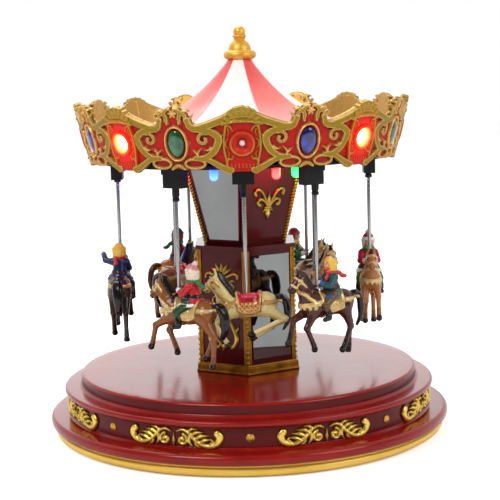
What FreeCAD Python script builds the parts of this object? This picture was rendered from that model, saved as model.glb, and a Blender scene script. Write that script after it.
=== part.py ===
import FreeCAD, Part
import math
import os

import Sketcher
from FreeCAD import Placement, Rotation, Vector

# Wind-up carousel music box, millimetres, +Z up, front towards -Y, origin at the middle of its foot.
# Bearings are measured from the front (-Y) towards +X, so a point stands at (r sin, -r cos).

DRIVING_SIZES = (
    # turned base
    ("foot_height", 7.5),
    ("foot_swell", 4.0),
    ("foot_width", 12.0),
    ("flange_radius", 125.0),
    ("foot_step", 7.0),
    ("flange_height", 6.5),
    ("flange_round", 2.6),
    ("band_step", 12.5),
    ("band_height", 13.5),
    ("lip_overhang", 3.3),
    ("lip_height", 3.5),
    ("lip_round", 1.4),
    ("deck_step", 10.4),
    ("deck_height", 7.9),
    ("deck_round", 1.8),
    ("deck_wall", 3.5),
    ("shell_wall", 3.4),
    ("boss_radius", 5.0),
    ("boss_inset", 10.0),
    ("base_screws", 4),
    ("screw_radius", 1.9),
    ("screw_head_radius", 4.0),
    ("screw_head_height", 1.8),
    ("screw_grip", 9.0),
    ("plate_level", 10.0),
    ("plate_thickness", 2.5),
    # clearances
    ("slip_gap", 0.05),
    ("seat_gap", 0.02),
    ("run_gap", 0.3),
    # centre post, drive tube and column
    ("post_radius", 4.0),
    ("post_flange_radius", 10.0),
    ("post_flange_height", 3.5),
    ("tube_radius", 8.0),
    ("thrust_gap", 0.1),
    ("foot_moulding_radius", 36.8),
    ("foot_moulding_height", 5.8),
    ("column_radius", 33.6),
    ("column_wall", 2.0),
    ("column_lower_height", 73.0),
    ("ledge_radius", 35.4),
    ("ledge_height", 2.5),
    ("waist_radius", 27.4),
    ("flare_radius", 40.6),
    ("column_upper_height", 52.0),
    ("bead_radius", 1.7),
    ("mirror_thickness", 1.0),
    ("mirror_margin", 3.4),
    ("relief_height", 1.5),
    ("relief_sink", 1.2),
    ("scroll_wall", 0.9),
    ("scroll_eye_radius", 2.8),
    ("stud_radius", 1.9),
    ("stud_top_radius", 1.1),
    # gears
    ("gear_module", 0.8),
    ("fine_module", 0.5),
    ("drive_gear_teeth", 30),
    ("drive_gear_thickness", 4.0),
    ("barrel_teeth", 60),
    ("barrel_crown_teeth", 40),
    ("crown_teeth", 60),
    ("pinion_teeth", 10),
    ("pinion_width", 4.0),
    ("governor_wheel_teeth", 24),
    ("governor_pinion_teeth", 8),
    ("governor_wheel_width", 2.0),
    ("crown_disc", 1.6),
    ("crown_hub_radius", 7.0),
    ("crown_hub_height", 3.0),
    # wind-up movement
    ("bedplate_thickness", 2.0),
    ("bedplate_margin", 3.0),
    ("barrel_height", 6.2),
    ("barrel_wall", 2.0),
    ("barrel_cap", 1.5),
    ("spring_turns", 5),
    ("spring_strip", 0.5),
    ("spring_width", 3.6),
    ("arbor_radius", 2.5),
    ("key_wing_radius", 5.5),
    ("key_wing_reach", 7.0),
    ("key_eye_radius", 1.8),
    ("key_thickness", 2.4),
    ("key_hub_radius", 4.2),
    ("key_floor_gap", 1.5),
    ("key_wing_height", 6.0),
    ("key_socket", 2.0),
    ("cylinder_radius", 6.5),
    ("cylinder_length", 22.0),
    ("cylinder_shaft_radius", 1.2),
    ("cylinder_pin_radius", 0.35),
    ("cylinder_pin_height", 0.8),
    ("cylinder_pin_root", 1.0),
    ("cylinder_pin_rows", 9),
    ("bracket_thickness", 2.4),
    ("bracket_width", 7.0),
    ("comb_teeth", 11),
    ("comb_thickness", 1.0),
    ("comb_reach", 14.0),
    ("comb_slot", 0.5),
    ("comb_screw_radius", 1.0),
    ("fan_radius", 5.5),
    ("fan_length", 6.0),
    ("fan_thickness", 0.8),
    ("fan_shaft_radius", 0.8),
    # canopy
    ("ceiling_thickness", 2.0),
    ("board_radius", 92.5),
    ("board_drop", 0.5),
    ("board_height", 37.0),
    ("board_flare", 9.2),
    ("board_valley", 25.5),
    ("board_thickness", 2.4),
    ("crest_radius", 14.0),
    ("panel_count", 16),
    ("gem_half_width", 4.6),
    ("gem_half_height", 7.4),
    ("gem_rise", 2.6),
    ("gem_level", 16.0),
    ("socket_radius", 6.0),
    ("socket_depth", 1.6),
    ("lamp_radius", 2.5),
    ("lamp_length", 1.0),
    ("tent_rim_level", 14.0),
    ("tent_height", 46.6),
    ("tent_top_radius", 7.5),
    ("tent_thickness", 1.2),
    ("finial_ring_radius", 7.3),
    ("finial_ring_tube", 2.7),
    ("finial_dome_radius", 7.0),
    ("finial_neck_radius", 3.2),
    ("finial_collar_radius", 4.3),
    ("finial_collar_height", 1.3),
    ("finial_ball_radius", 3.7),
    ("finial_height", 20.4),
    ("string_radius", 46.5),
    ("string_wire_radius", 0.5),
    ("string_lamp_length", 6.5),
    ("lead_hole_circle", 66.0),
    ("lead_hole_radius", 4.5),
    ("cell_radius", 5.25),
    ("cell_length", 44.5),
    ("cell_circle", 55.0),
    ("cell_cap_radius", 1.9),
    ("cell_cap_height", 1.0),
    ("clip_spare", 1.0),
    ("clip_thickness", 1.0),
    ("clip_width", 8.0),
    ("switch_circle", 70.0),
    ("switch_travel", 2.5),
    ("switch_knob_length", 5.0),
    ("switch_knob_width", 4.0),
    ("switch_knob_height", 2.6),
    ("switch_neck_width", 2.6),
    ("switch_head_height", 1.0),
    # cranks, poles and horses
    ("outer_circle", 78.4),
    ("inner_circle", 53.4),
    ("crank_throw", 3.0),
    ("crank_shaft_radius", 1.25),
    ("crank_pin_radius", 1.0),
    ("crank_web_thickness", 2.2),
    ("crank_web_margin", 1.6),
    ("crank_cap_radius", 1.8),
    ("crank_cap_width", 0.9),
    ("bearing_width", 6.0),
    ("bearing_thickness", 3.0),
    ("hanger_radius", 2.2),
    ("hanger_eye_width", 2.6),
    ("hanger_drop", 25.1),
    ("hanger_socket", 6.0),
    ("sleeve_wall", 1.0),
    ("sleeve_drop", 11.5),
    ("pole_radius", 1.1),
    ("pole_drop", 59.0),
    ("pole_seat_depth", 8.0),
    ("pole_lead", 6.0),
)

# Rest phase of each crank in degrees; the height of its horse is the throw times the sine.
OUTER_HORSES = ((-150, 150), (-90, 90), (-30, -90), (30, -30), (90, 30), (150, 210))
INNER_HORSES = ((0, -90), (120, 30), (240, 150))
# Tooth proportions in modules and as a share of the pitch; the rest of the pitch is backlash.
TOOTH_RISE = 0.8
TOOTH_ROOT = 1.1
TOOTH_SHARE = 0.34
FLANK_SLOPE = math.tan(math.radians(12))
UP = Vector(0, 0, 1)
OUTWARD = Vector(1, 0, 0)
HEX_SIDES = 6
HEX_STEP = 360 / HEX_SIDES
HEX_FLAT = math.cos(math.radians(HEX_STEP / 2))
# Shares of a length at which smaller features sit.
SWELL_START = 0.4
SWELL_END = 0.75
COMB_SCREW_SHARE = 0.75
COMB_SCREW_SPREAD = (0.25, 0.75)
SOCKET_TAPER = 0.7
SEAM_ANGLE = 0.05
LINK_SHARE = 0.8
# Steps round the pinned drum from one comb tooth to the next and between a tooth's two pins.
TUNE_STEP = 4
CHORD_STEP = 5
SCROLL_COUNT = 8
CELL_BEARINGS = (60, 180, 300)
SWITCH_BEARING = 180
LEAD_BEARING = 15
STRING_BEARINGS = (25, 43, 92, 150, 205, 268, 300, 338)


class Size:
    """A length that knows both its sheet expression and its value."""

    def __init__(self, text, value):
        self.text = text
        self.value = value

    def __float__(self):
        return float(self.value)

    def __add__(self, other):
        return joined(self, "+", other, float(self) + float(other))

    def __radd__(self, other):
        return joined(other, "+", self, float(self) + float(other))

    def __sub__(self, other):
        return joined(self, "-", other, float(self) - float(other))

    def __rsub__(self, other):
        return joined(other, "-", self, float(other) - float(self))

    def __mul__(self, other):
        return joined(self, "*", other, float(self) * float(other))

    __rmul__ = __mul__

    def __truediv__(self, other):
        return joined(self, "/", other, float(self) / float(other))

    def __neg__(self):
        return self * -1


def text_of(size):
    return size.text if isinstance(size, Size) else repr(float(size))


def joined(left, sign, right, value):
    return Size(f"({text_of(left)} {sign} {text_of(right)})", value)


doc = FreeCAD.newDocument("carousel_music_box")
sheet = doc.addObject("Spreadsheet::Sheet", "Sizes")
for row, (alias, number) in enumerate(DRIVING_SIZES, start=1):
    sheet.set(f"A{row}", alias)
    sheet.set(f"B{row}", str(number))
    sheet.setAlias(f"B{row}", alias)
doc.recompute()


def size(alias):
    return Size(f"Sizes.{alias}", sheet.get(alias))


def count(alias):
    return int(round(sheet.get(alias)))


nodes = []


def keep(node):
    nodes.append(node)
    return node


def bind(feature, **sizes):
    for name, value in sizes.items():
        feature.setExpression(name.replace("__", "."), text_of(value))
    return feature


def primitive(kind, name, at=(0, 0, 0), turn=0, **sizes):
    solid = doc.addObject(f"Part::{kind}", name)
    solid.Placement = Placement(Vector(0, 0, 0), Rotation(UP, turn))
    bind(solid, **sizes)
    return bind(solid, Placement__Base__x=at[0], Placement__Base__y=at[1], Placement__Base__z=at[2])


def cylinder(name, radius, height, at):
    return primitive("Cylinder", name, at, Radius=radius, Height=height)


def cut(label, base, *tools):
    result = doc.addObject("Part::Cut", label)
    result.Base = base
    result.Tool = tools[0] if len(tools) == 1 else fused(f"{label}_tools", *tools)
    return result


def fused(label, *solids):
    result = doc.addObject("Part::MultiFuse", label)
    result.Shapes = list(solids)
    result.Refine = False
    return result


def feature(label, shape, place=Placement()):
    result = doc.addObject("Part::Feature", label)
    result.Shape = shape
    result.Placement = place
    return result


def shifted(x, y, z):
    return Placement(Vector(float(x), float(y), float(z)), Rotation())


def origin_plane(body, role):
    return next(plane for plane in body.Origin.OriginFeatures if plane.Role == role)


def outline_sketch(body, name, corners):
    """A closed sketch in the XZ plane whose corners are tied to the sheet."""
    sketch = body.newObject("Sketcher::SketchObject", name)
    sketch.AttachmentSupport = [(origin_plane(body, "XZ_Plane"), "")]
    sketch.MapMode = "FlatFace"
    points = [Vector(float(across), float(height), 0) for across, height in corners]
    for start, end in zip(points, points[1:] + points[:1]):
        sketch.addGeometry(Part.LineSegment(start, end), False)
    for edge in range(len(points)):
        sketch.addConstraint(Sketcher.Constraint("Coincident", edge, 2, (edge + 1) % len(points), 1))
    for edge, corner in enumerate(corners):
        for kind, axis, distance in (("DistanceX", -2, corner[0]), ("DistanceY", -1, corner[1])):
            if float(distance) == 0:
                sketch.addConstraint(Sketcher.Constraint("PointOnObject", edge, 1, axis))
                continue
            rule = sketch.addConstraint(Sketcher.Constraint(kind, -1, 1, edge, 1, float(distance)))
            if isinstance(distance, Size):
                sketch.setExpression(f"Constraints[{rule}]", distance.text)
    return sketch


def turned_body(label, corners):
    """A body turned about Z from its half section."""
    body = doc.addObject("PartDesign::Body", label)
    sketch = outline_sketch(body, f"{label}_section", corners)
    turned = body.newObject("PartDesign::Revolution", f"{label}_turned")
    turned.Profile = (sketch, [""])
    turned.ReferenceAxis = (sketch, ["V_Axis"])
    turned.Angle = 360
    return body


def round_rings(body, rings, radius):
    """Fillets the round edges that lie at the given (radius, height) places."""
    doc.recompute()
    base = body.Tip
    names = []
    for index, edge in enumerate(base.Shape.Edges, start=1):
        if not isinstance(edge.Curve, Part.Circle):
            continue
        for ring_radius, height in rings:
            offset = abs(edge.Curve.Radius - float(ring_radius)) + abs(edge.Curve.Center.z - float(height))
            if offset < 1e-4:
                names.append(f"Edge{index}")
    fillet = body.newObject("PartDesign::Fillet", f"{body.Name}_rounded")
    fillet.Base = (base, names)
    bind(fillet, Radius=radius)


def circle_sketch(body, name, level, circle, radius, number):
    """Circles of one size spread evenly on a bolt circle at a level."""
    sketch = body.newObject("Sketcher::SketchObject", name)
    sketch.AttachmentSupport = [(origin_plane(body, "XY_Plane"), "")]
    sketch.MapMode = "FlatFace"
    bind(sketch, AttachmentOffset__Base__z=level)
    for index in range(number):
        angle = 2 * math.pi * index / number
        middle = Vector(float(circle) * math.cos(angle), float(circle) * math.sin(angle), 0)
        sketch.addGeometry(Part.Circle(middle, Vector(0, 0, 1), float(radius)), False)
        for kind, value, tie in (("DistanceX", middle.x, circle * round(math.cos(angle), 9)),
                                 ("DistanceY", middle.y, circle * round(math.sin(angle), 9))):
            if abs(value) < 1e-9:
                axis = -2 if kind == "DistanceX" else -1
                sketch.addConstraint(Sketcher.Constraint("PointOnObject", index, 3, axis))
                continue
            rule = sketch.addConstraint(Sketcher.Constraint(kind, -1, 1, index, 3, value))
            sketch.setExpression(f"Constraints[{rule}]", tie.text)
        rule = sketch.addConstraint(Sketcher.Constraint("Radius", index, float(radius)))
        sketch.setExpression(f"Constraints[{rule}]", radius.text)
    return sketch


def bearing_point(radius, bearing, level):
    angle = math.radians(bearing)
    return Vector(float(radius) * math.sin(angle), -float(radius) * math.cos(angle), float(level))


def radial_frame(bearing, level=0):
    """Places a shape modelled with +X outward and +Z up on a bearing."""
    return Placement(Vector(0, 0, float(level)), Rotation(UP, bearing - 90))


def moved(shape, placement):
    copy = shape.copy()
    copy.Placement = placement.multiply(copy.Placement)
    return copy


def box(low, high):
    low = Vector(*[float(value) for value in low])
    high = Vector(*[float(value) for value in high])
    span = high - low
    return Part.makeBox(span.x, span.y, span.z, low)


def rod(radius, start, end):
    start = Vector(*[float(value) for value in start])
    end = Vector(*[float(value) for value in end])
    return Part.makeCylinder(float(radius), (end - start).Length, start, end - start)


def union(shapes):
    shapes = list(shapes)
    return shapes[0].multiFuse(shapes[1:]) if len(shapes) > 1 else shapes[0]


def prism(corners, depth):
    points = [Vector(*corner) for corner in corners]
    return Part.Face(Part.makePolygon(points + points[:1])).extrude(depth)


# Levels up the object
flange_top = size("foot_height") + size("flange_height")
band_top = flange_top + size("band_height")
lip_top = band_top + size("lip_height")
deck_top = lip_top + size("deck_height")
hollow_top = deck_top - size("deck_wall")
plate_top = size("plate_level") + size("plate_thickness")
post_flange_top = plate_top + size("post_flange_height")
tube_bottom = post_flange_top + size("thrust_gap")
column_foot_bottom = deck_top + size("run_gap")
column_bottom = column_foot_bottom + size("foot_moulding_height")
ledge_top = column_bottom + size("column_lower_height")
ceiling_level = ledge_top + size("column_upper_height")
ceiling_top = ceiling_level + size("ceiling_thickness")
board_bottom = ceiling_level - size("board_drop")
tooth_rise = size("gear_module") * TOOTH_RISE
tooth_root = size("gear_module") * TOOTH_ROOT
pinion_radius = size("gear_module") * size("pinion_teeth") / 2
crown_radius = size("gear_module") * size("crown_teeth") / 2
crown_bottom = ceiling_top + size("run_gap")
crown_root = crown_bottom + size("crown_disc")
crank_level = crown_root + tooth_root + pinion_radius
crank_web_radius = size("crank_pin_radius") + size("crank_web_margin")
tent_rim = ceiling_level + size("tent_rim_level")
tent_top = tent_rim + size("tent_height")

# The steps of the base follow its flange
foot_radius = size("flange_radius") - size("foot_step")
band_radius = size("flange_radius") - size("band_step")
lip_radius = band_radius + size("lip_overhang")
deck_radius = lip_radius - size("deck_step")
hollow_radius = deck_radius - size("shell_wall")
boss_circle = hollow_radius - size("boss_inset")

# Levels and places of the movement
barrel_radius = size("gear_module") * size("barrel_teeth") / 2
barrel_crown_radius = size("gear_module") * size("barrel_crown_teeth") / 2
drive_gear_radius = size("gear_module") * size("drive_gear_teeth") / 2
barrel_y = barrel_radius + drive_gear_radius
bedplate_top = plate_top + size("bedplate_thickness")
barrel_bottom = bedplate_top + size("run_gap")
barrel_top = barrel_bottom + size("barrel_height")
cylinder_level = barrel_top + tooth_root + pinion_radius
bracket_x = barrel_radius + tooth_rise + 2 * size("run_gap")
cylinder_x = bracket_x + size("bracket_thickness") + 2 * size("run_gap")
cylinder_end = cylinder_x + size("cylinder_length")
far_bracket_x = cylinder_end + 2 * size("run_gap")
governor_wheel_x = far_bracket_x + size("bracket_thickness") + 2 * size("run_gap")
governor_wheel_end = governor_wheel_x + size("governor_wheel_width")
governor_offset = size("fine_module") * (size("governor_wheel_teeth") + size("governor_pinion_teeth")) / 2
governor_y = barrel_y - governor_offset
fan_x = governor_wheel_end + 2 * size("run_gap")
fan_end = fan_x + size("fan_length")
fan_bracket_x = fan_end + 2 * size("run_gap")
comb_level = cylinder_level - size("comb_thickness") / 2
comb_tip_y = barrel_y + size("cylinder_radius") + size("cylinder_pin_height") + size("run_gap")


def gear_outline(teeth, module, first_tooth):
    """Corner points of a spur gear in the XY plane with one tooth on the given angle."""
    pitch = teeth * module / 2
    tip = pitch + module * TOOTH_RISE
    root = pitch - module * TOOTH_ROOT
    half_pitch = math.pi * module * TOOTH_SHARE / 2
    half_tip = half_pitch - module * TOOTH_RISE * FLANK_SLOPE
    half_root = half_pitch + module * TOOTH_ROOT * FLANK_SLOPE
    points = []
    for tooth in range(teeth):
        middle = math.radians(first_tooth) + 2 * math.pi * tooth / teeth
        for radius, half in ((root, -half_root), (tip, -half_tip), (tip, half_tip), (root, half_root)):
            angle = middle + half / radius
            points.append((radius * math.cos(angle), radius * math.sin(angle), 0))
    return points


def spur_gear(teeth, module, width, first_tooth):
    return prism(gear_outline(teeth, float(module), first_tooth), Vector(0, 0, float(width)))


def shaft_gear(teeth, module, start_x, width, first_tooth):
    """A spur gear on a shaft along X; the first tooth angle turns from +Y towards +Z."""
    gear = spur_gear(teeth, module, width, first_tooth)
    gear.Placement = Placement(Vector(float(start_x), 0, 0), Rotation(Vector(1, 1, 1), 120))
    return gear


def crown_ring(teeth, root_level, first_tooth):
    """Upright teeth of a crown wheel, standing on root_level around Z."""
    module = float(size("gear_module"))
    radius = teeth * module / 2
    inner = radius - float(size("pinion_width")) / 2 - module
    outer = radius + float(size("pinion_width")) / 2 + module
    half_pitch = math.pi * module * TOOTH_SHARE / 2
    half_tip = half_pitch - module * TOOTH_RISE * FLANK_SLOPE
    half_root = half_pitch + module * TOOTH_ROOT * FLANK_SLOPE
    top = module * (TOOTH_RISE + TOOTH_ROOT)
    section = ((inner, -half_root, 0), (inner, half_root, 0), (inner, half_tip, top), (inner, -half_tip, top))
    tooth = prism(section, Vector(outer - inner, 0, 0))
    ring = []
    for index in range(teeth):
        turn = Rotation(UP, first_tooth + 360 * index / teeth)
        ring.append(moved(tooth, Placement(Vector(0, 0, float(root_level)), turn)))
    return ring, inner, outer


def make_base():
    foot_inner = foot_radius - size("foot_width")
    swell = foot_radius + size("foot_swell")
    foot = size("foot_height")
    keep(turned_body("foot_ring", [
        (foot_inner, 0), (foot_radius, 0), (swell, foot * SWELL_START), (swell, foot * SWELL_END),
        (swell - size("foot_swell") / 3, foot), (foot_inner, foot)]))

    tube_hole = size("tube_radius") + size("run_gap")
    shell = keep(turned_body("base_shell", [
        (tube_hole, deck_top), (deck_radius, deck_top), (deck_radius, lip_top),
        (lip_radius, lip_top), (lip_radius, band_top), (band_radius, band_top),
        (band_radius, flange_top), (size("flange_radius"), flange_top),
        (size("flange_radius"), foot), (hollow_radius, foot), (hollow_radius, hollow_top),
        (tube_hole, hollow_top)]))
    flange_rings = [(size("flange_radius"), flange_top), (size("flange_radius"), foot)]
    lip_rings = [(lip_radius, lip_top), (lip_radius, band_top)]
    round_rings(shell, flange_rings, size("flange_round"))
    round_rings(shell, lip_rings, size("lip_round"))
    round_rings(shell, [(deck_radius, deck_top)], size("deck_round"))
    screws = count("base_screws")
    bosses = shell.newObject("PartDesign::Pad", "screw_bosses")
    boss_circles = circle_sketch(shell, "boss_circles", plate_top, boss_circle, size("boss_radius"), screws)
    bosses.Profile = (boss_circles, [""])
    bind(bosses, Length=hollow_top - plate_top)
    doc.recompute()
    pilots = shell.newObject("PartDesign::Pocket", "screw_pilots")
    pilot_radius = size("screw_radius") + size("seat_gap")
    pilot_circles = circle_sketch(shell, "pilot_circles", plate_top, boss_circle, pilot_radius, screws)
    pilots.Profile = (pilot_circles, [""])
    pilots.Reversed = True
    bind(pilots, Length=size("screw_grip") + size("run_gap"))

    plate_radius = hollow_radius - size("run_gap")
    disc = cylinder("plate_disc", plate_radius, size("plate_thickness"), (0, 0, size("plate_level")))
    holes = [cylinder("arbor_hole", size("arbor_radius") + size("slip_gap"), size("plate_thickness"),
                      (0, barrel_y, size("plate_level")))]
    for index in range(screws):
        angle = 2 * math.pi * index / screws
        place = (boss_circle * round(math.cos(angle), 9), boss_circle * round(math.sin(angle), 9),
                 size("plate_level"))
        holes.append(cylinder(f"plate_hole_{index}", pilot_radius, size("plate_thickness"), place))
    keep(cut("base_plate", disc, *holes))

    keep(turned_body("center_post", [
        (0, plate_top), (size("post_flange_radius"), plate_top),
        (size("post_flange_radius"), post_flange_top),
        (size("post_radius"), post_flange_top), (size("post_radius"), crown_root + size("crown_hub_height")),
        (0, crown_root + size("crown_hub_height"))]))
    make_screws()
    keep(feature("base_ornaments", base_ornaments()))


def make_screws():
    """Pan-head screws under the base plate and the two that clamp the comb."""
    solids = []
    head_low = size("plate_level") - size("screw_head_height")
    for index in range(count("base_screws")):
        place = bearing_point(boss_circle, 360 / count("base_screws") * index, 0)
        x, y = place.x, place.y
        head = rod(size("screw_head_radius"), (x, y, head_low), (x, y, size("plate_level")))
        shank = rod(size("screw_radius"), (x, y, size("plate_level")), (x, y, plate_top + size("screw_grip")))
        solids.append(head.fuse(shank))
    comb_top = comb_level + size("comb_thickness")
    head_top = comb_top + size("comb_screw_radius")
    y = comb_tip_y + size("comb_reach") * COMB_SCREW_SHARE
    for x in comb_screw_places():
        head = rod(2 * size("comb_screw_radius"), (x, y, comb_top), (x, y, head_top))
        shank = rod(size("comb_screw_radius"), (x, y, bedplate_top), (x, y, comb_top))
        solids.append(head.fuse(shank))
    keep(feature("screws", Part.makeCompound(solids)))


def comb_screw_places():
    return [cylinder_x + size("cylinder_length") * share for share in COMB_SCREW_SPREAD]


def petal(length, width, height):
    """A leaf between two arcs, lying in the XY plane from the origin along +X."""
    half = float(width) / 2
    tip = Vector(float(length), 0, 0)
    root = Vector(0, 0, 0)
    left = Part.Arc(root, Vector(float(length) / 2, half, 0), tip).toShape()
    right = Part.Arc(tip, Vector(float(length) / 2, -half, 0), root).toShape()
    return Part.Face(Part.Wire([left, right])).extrude(Vector(0, 0, float(height)))


def scroll_ring(radius, wall, height):
    outer = Part.makeCylinder(radius, height)
    return outer.cut(Part.makeCylinder(radius - wall, height))


def relief_on_band(shape, along, rise):
    """Stands a flat relief on the drum of the base: its X runs round the drum and its Y up."""
    radius = float(band_radius)
    level = (float(flange_top) + float(band_top)) / 2 + rise
    flat = Placement(Vector(0, float(size("relief_sink")) - radius, level), Rotation(OUTWARD, 90))
    return moved(shape, Placement(Vector(), Rotation(UP, math.degrees(along / radius))).multiply(flat))


# Right half of a scroll applique, in millimetres from its middle: a ring's radius, or the turn of
# a leaf in degrees, its length and its width.
SCROLL_RINGS = ((13.6, 0.9, 2.9), (25.6, -1.6, 2.0))
SCROLL_LEAVES = ((3.4, 0.6, 12, 7.2, 3.0), (3.0, -1.6, -24, 6.5, 2.4), (9.6, -4.6, 8, 8.0, 2.0),
                 (17.0, 1.6, -18, 6.5, 2.6), (17.6, 3.4, 0, 6.0, 1.8))
EYE_LEAF = (3.1, 3.4, 2.6)


def scroll_flats(height):
    """Flat pieces of one applique with the place of each, apart from one another."""
    wall = float(size("scroll_wall"))
    flats = [(scroll_ring(float(size("scroll_eye_radius")), wall, height), 0, 0)]
    start, length, width = EYE_LEAF
    for side in (1, -1):
        leaf = petal(length, width, height)
        leaf.rotate(Vector(), UP, 90 * side)
        flats.append((leaf, 0, start * side))
        for along, rise, radius in SCROLL_RINGS:
            flats.append((scroll_ring(radius, wall, height), along * side, rise))
        for along, rise, turn, length_along, breadth in SCROLL_LEAVES:
            leaf = petal(length_along, breadth, height)
            leaf.rotate(Vector(), UP, turn if side > 0 else 180 - turn)
            flats.append((leaf, along * side, rise))
    return flats


def base_ornaments():
    """Gilt scroll appliques with a stud between each two, seated on the drum."""
    drum = Part.makeCylinder(float(band_radius), float(band_top))
    height = float(size("relief_sink") + size("relief_height"))
    scroll = [relief_on_band(*flat).cut(drum) for flat in scroll_flats(height)]
    cone = Part.makeCone(float(size("stud_radius")), float(size("stud_top_radius")), height)
    stud = relief_on_band(cone, 0, 0).cut(drum)
    solids = []
    step = 360 / SCROLL_COUNT
    for index in range(SCROLL_COUNT):
        for piece in scroll:
            solids.append(moved(piece.Solids[0], Placement(Vector(), Rotation(UP, step * (index + 0.5)))))
        solids.append(moved(stud.Solids[0], Placement(Vector(), Rotation(UP, step * index))))
    return Part.makeCompound(solids)


def make_movement():
    plate_low_x = -(barrel_radius + size("bedplate_margin"))
    plate_high_x = fan_bracket_x + size("bracket_thickness") + size("bedplate_margin")
    plate_low_y = size("post_flange_radius") + size("bedplate_margin")
    plate_high_y = barrel_y + barrel_radius + size("bedplate_margin")
    half = size("bracket_width") / 2
    plate = box((plate_low_x, plate_low_y, plate_top), (plate_high_x, plate_high_y, bedplate_top))
    bracket_top = cylinder_level + half
    solids = [plate]
    for x in (bracket_x, far_bracket_x):
        solids.append(box((x, barrel_y - half, plate_top),
                          (x + size("bracket_thickness"), barrel_y + half, bracket_top)))
    for x in (far_bracket_x, fan_bracket_x):
        solids.append(box((x, governor_y - half, plate_top),
                          (x + size("bracket_thickness"), governor_y + half, bracket_top)))
    comb_seat_y = comb_tip_y + size("comb_reach") / 2
    comb_back_y = comb_tip_y + size("comb_reach")
    solids.append(box((cylinder_x, comb_seat_y, plate_top), (cylinder_end, comb_back_y, comb_level)))
    bores = [
        rod(size("arbor_radius") + size("slip_gap"), (0, barrel_y, plate_top), (0, barrel_y, bedplate_top)),
        rod(size("cylinder_shaft_radius") + size("slip_gap"), (bracket_x, barrel_y, cylinder_level),
            (far_bracket_x + size("bracket_thickness"), barrel_y, cylinder_level)),
        rod(size("fan_shaft_radius") + size("slip_gap"), (far_bracket_x, governor_y, cylinder_level),
            (fan_bracket_x + size("bracket_thickness"), governor_y, cylinder_level))]
    screw_holes = []
    y = comb_tip_y + size("comb_reach") * COMB_SCREW_SHARE
    for x in comb_screw_places():
        screw_holes.append(rod(size("comb_screw_radius") + size("seat_gap"), (x, y, bedplate_top),
                               (x, y, comb_level + size("comb_thickness"))))
    keep(feature("movement_bedplate", union(solids).cut(bores + screw_holes)))

    blade = box((cylinder_x, comb_tip_y, comb_level),
                (cylinder_end, comb_back_y, comb_level + size("comb_thickness")))
    slots = []
    pitch = size("cylinder_length") / size("comb_teeth")
    for index in range(1, count("comb_teeth")):
        x = cylinder_x + pitch * index
        slots.append(box((x - size("comb_slot") / 2, comb_tip_y, comb_level),
                         (x + size("comb_slot") / 2, comb_seat_y, comb_level + size("comb_thickness"))))
    keep(feature("comb", blade.cut(slots + screw_holes)))
    make_barrel()
    make_key()
    make_cylinder()
    make_governor()


def make_barrel():
    drum = spur_gear(count("barrel_teeth"), size("gear_module"), size("barrel_height"), -90)
    drum = moved(drum, Placement(Vector(0, 0, float(barrel_bottom)), Rotation()))
    half_pitch = 180 / count("barrel_crown_teeth")
    teeth, _inner, _outer = crown_ring(count("barrel_crown_teeth"), barrel_top, half_pitch)
    chamber = size("barrel_height") - size("barrel_cap")
    chamber_radius = barrel_radius - tooth_root - size("barrel_wall")
    hollow = rod(chamber_radius, (0, 0, barrel_bottom), (0, 0, barrel_bottom + chamber))
    bore = rod(size("arbor_radius") + size("slip_gap"), (0, 0, barrel_bottom), (0, 0, barrel_top))
    barrel = union([drum] + teeth).cut([hollow, bore])
    keep(feature("spring_barrel", barrel, shifted(0, barrel_y, 0)))
    keep(feature("mainspring", mainspring(chamber_radius),
                 shifted(0, barrel_y, barrel_bottom + size("run_gap"))))


def mainspring(chamber_radius):
    """Flat spiral strip of half-turn arcs between the arbor and the chamber wall."""
    strip = float(size("spring_strip"))
    turns = count("spring_turns")
    radius = float(size("arbor_radius") + size("run_gap"))
    room = float(chamber_radius - size("run_gap")) - radius - strip
    growth = room / (2 * turns)
    middle = 0.0
    side = 1
    inner = []
    outer = []
    for _half_turn in range(2 * turns):
        for reach, edges in ((radius, inner), (radius + strip, outer)):
            ends = [Vector(middle + side * reach, 0, 0), Vector(middle, side * reach, 0),
                    Vector(middle - side * reach, 0, 0)]
            edges.append(Part.Arc(*ends).toShape())
        middle += side * growth / 2
        radius += growth / 2
        side = -side
    joins = []
    for end, vertex in ((0, 0), (-1, 1)):
        joins.append(Part.makeLine(inner[end].Vertexes[vertex].Point, outer[end].Vertexes[vertex].Point))
    wire = Part.Wire(Part.__sortEdges__(inner + outer + joins))
    return Part.Face(wire).extrude(Vector(0, 0, float(size("spring_width"))))


def make_key():
    wing_low = size("key_floor_gap")
    hub_high = size("plate_level") - size("run_gap")
    socket_low = hub_high - size("key_socket")
    arbor = rod(size("arbor_radius"), (0, 0, socket_low), (0, 0, barrel_top + size("run_gap")))
    keep(feature("winding_arbor", Part.makeCompound([arbor]), shifted(0, barrel_y, 0)))

    hub = rod(size("key_hub_radius"), (0, 0, wing_low), (0, 0, hub_high))
    half = size("key_thickness") / 2
    reach = size("key_wing_reach")
    eye_level = wing_low + size("key_wing_height") / 2
    lobes = []
    holes = []
    for x in (reach, -reach):
        lobes.append(rod(size("key_wing_radius"), (x, -half, eye_level), (x, half, eye_level)))
        holes.append(rod(size("key_eye_radius"), (x, -half, eye_level), (x, half, eye_level)))
    span = reach + size("key_wing_radius")
    slab = box((-span, -half, wing_low), (span, half, wing_low + size("key_wing_height")))
    wings = union(lobes).common(slab).cut(holes)
    socket = rod(size("arbor_radius") + size("seat_gap"), (0, 0, socket_low), (0, 0, hub_high))
    keep(feature("winding_key", hub.fuse(wings).cut(socket), shifted(0, barrel_y, 0)))


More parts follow.
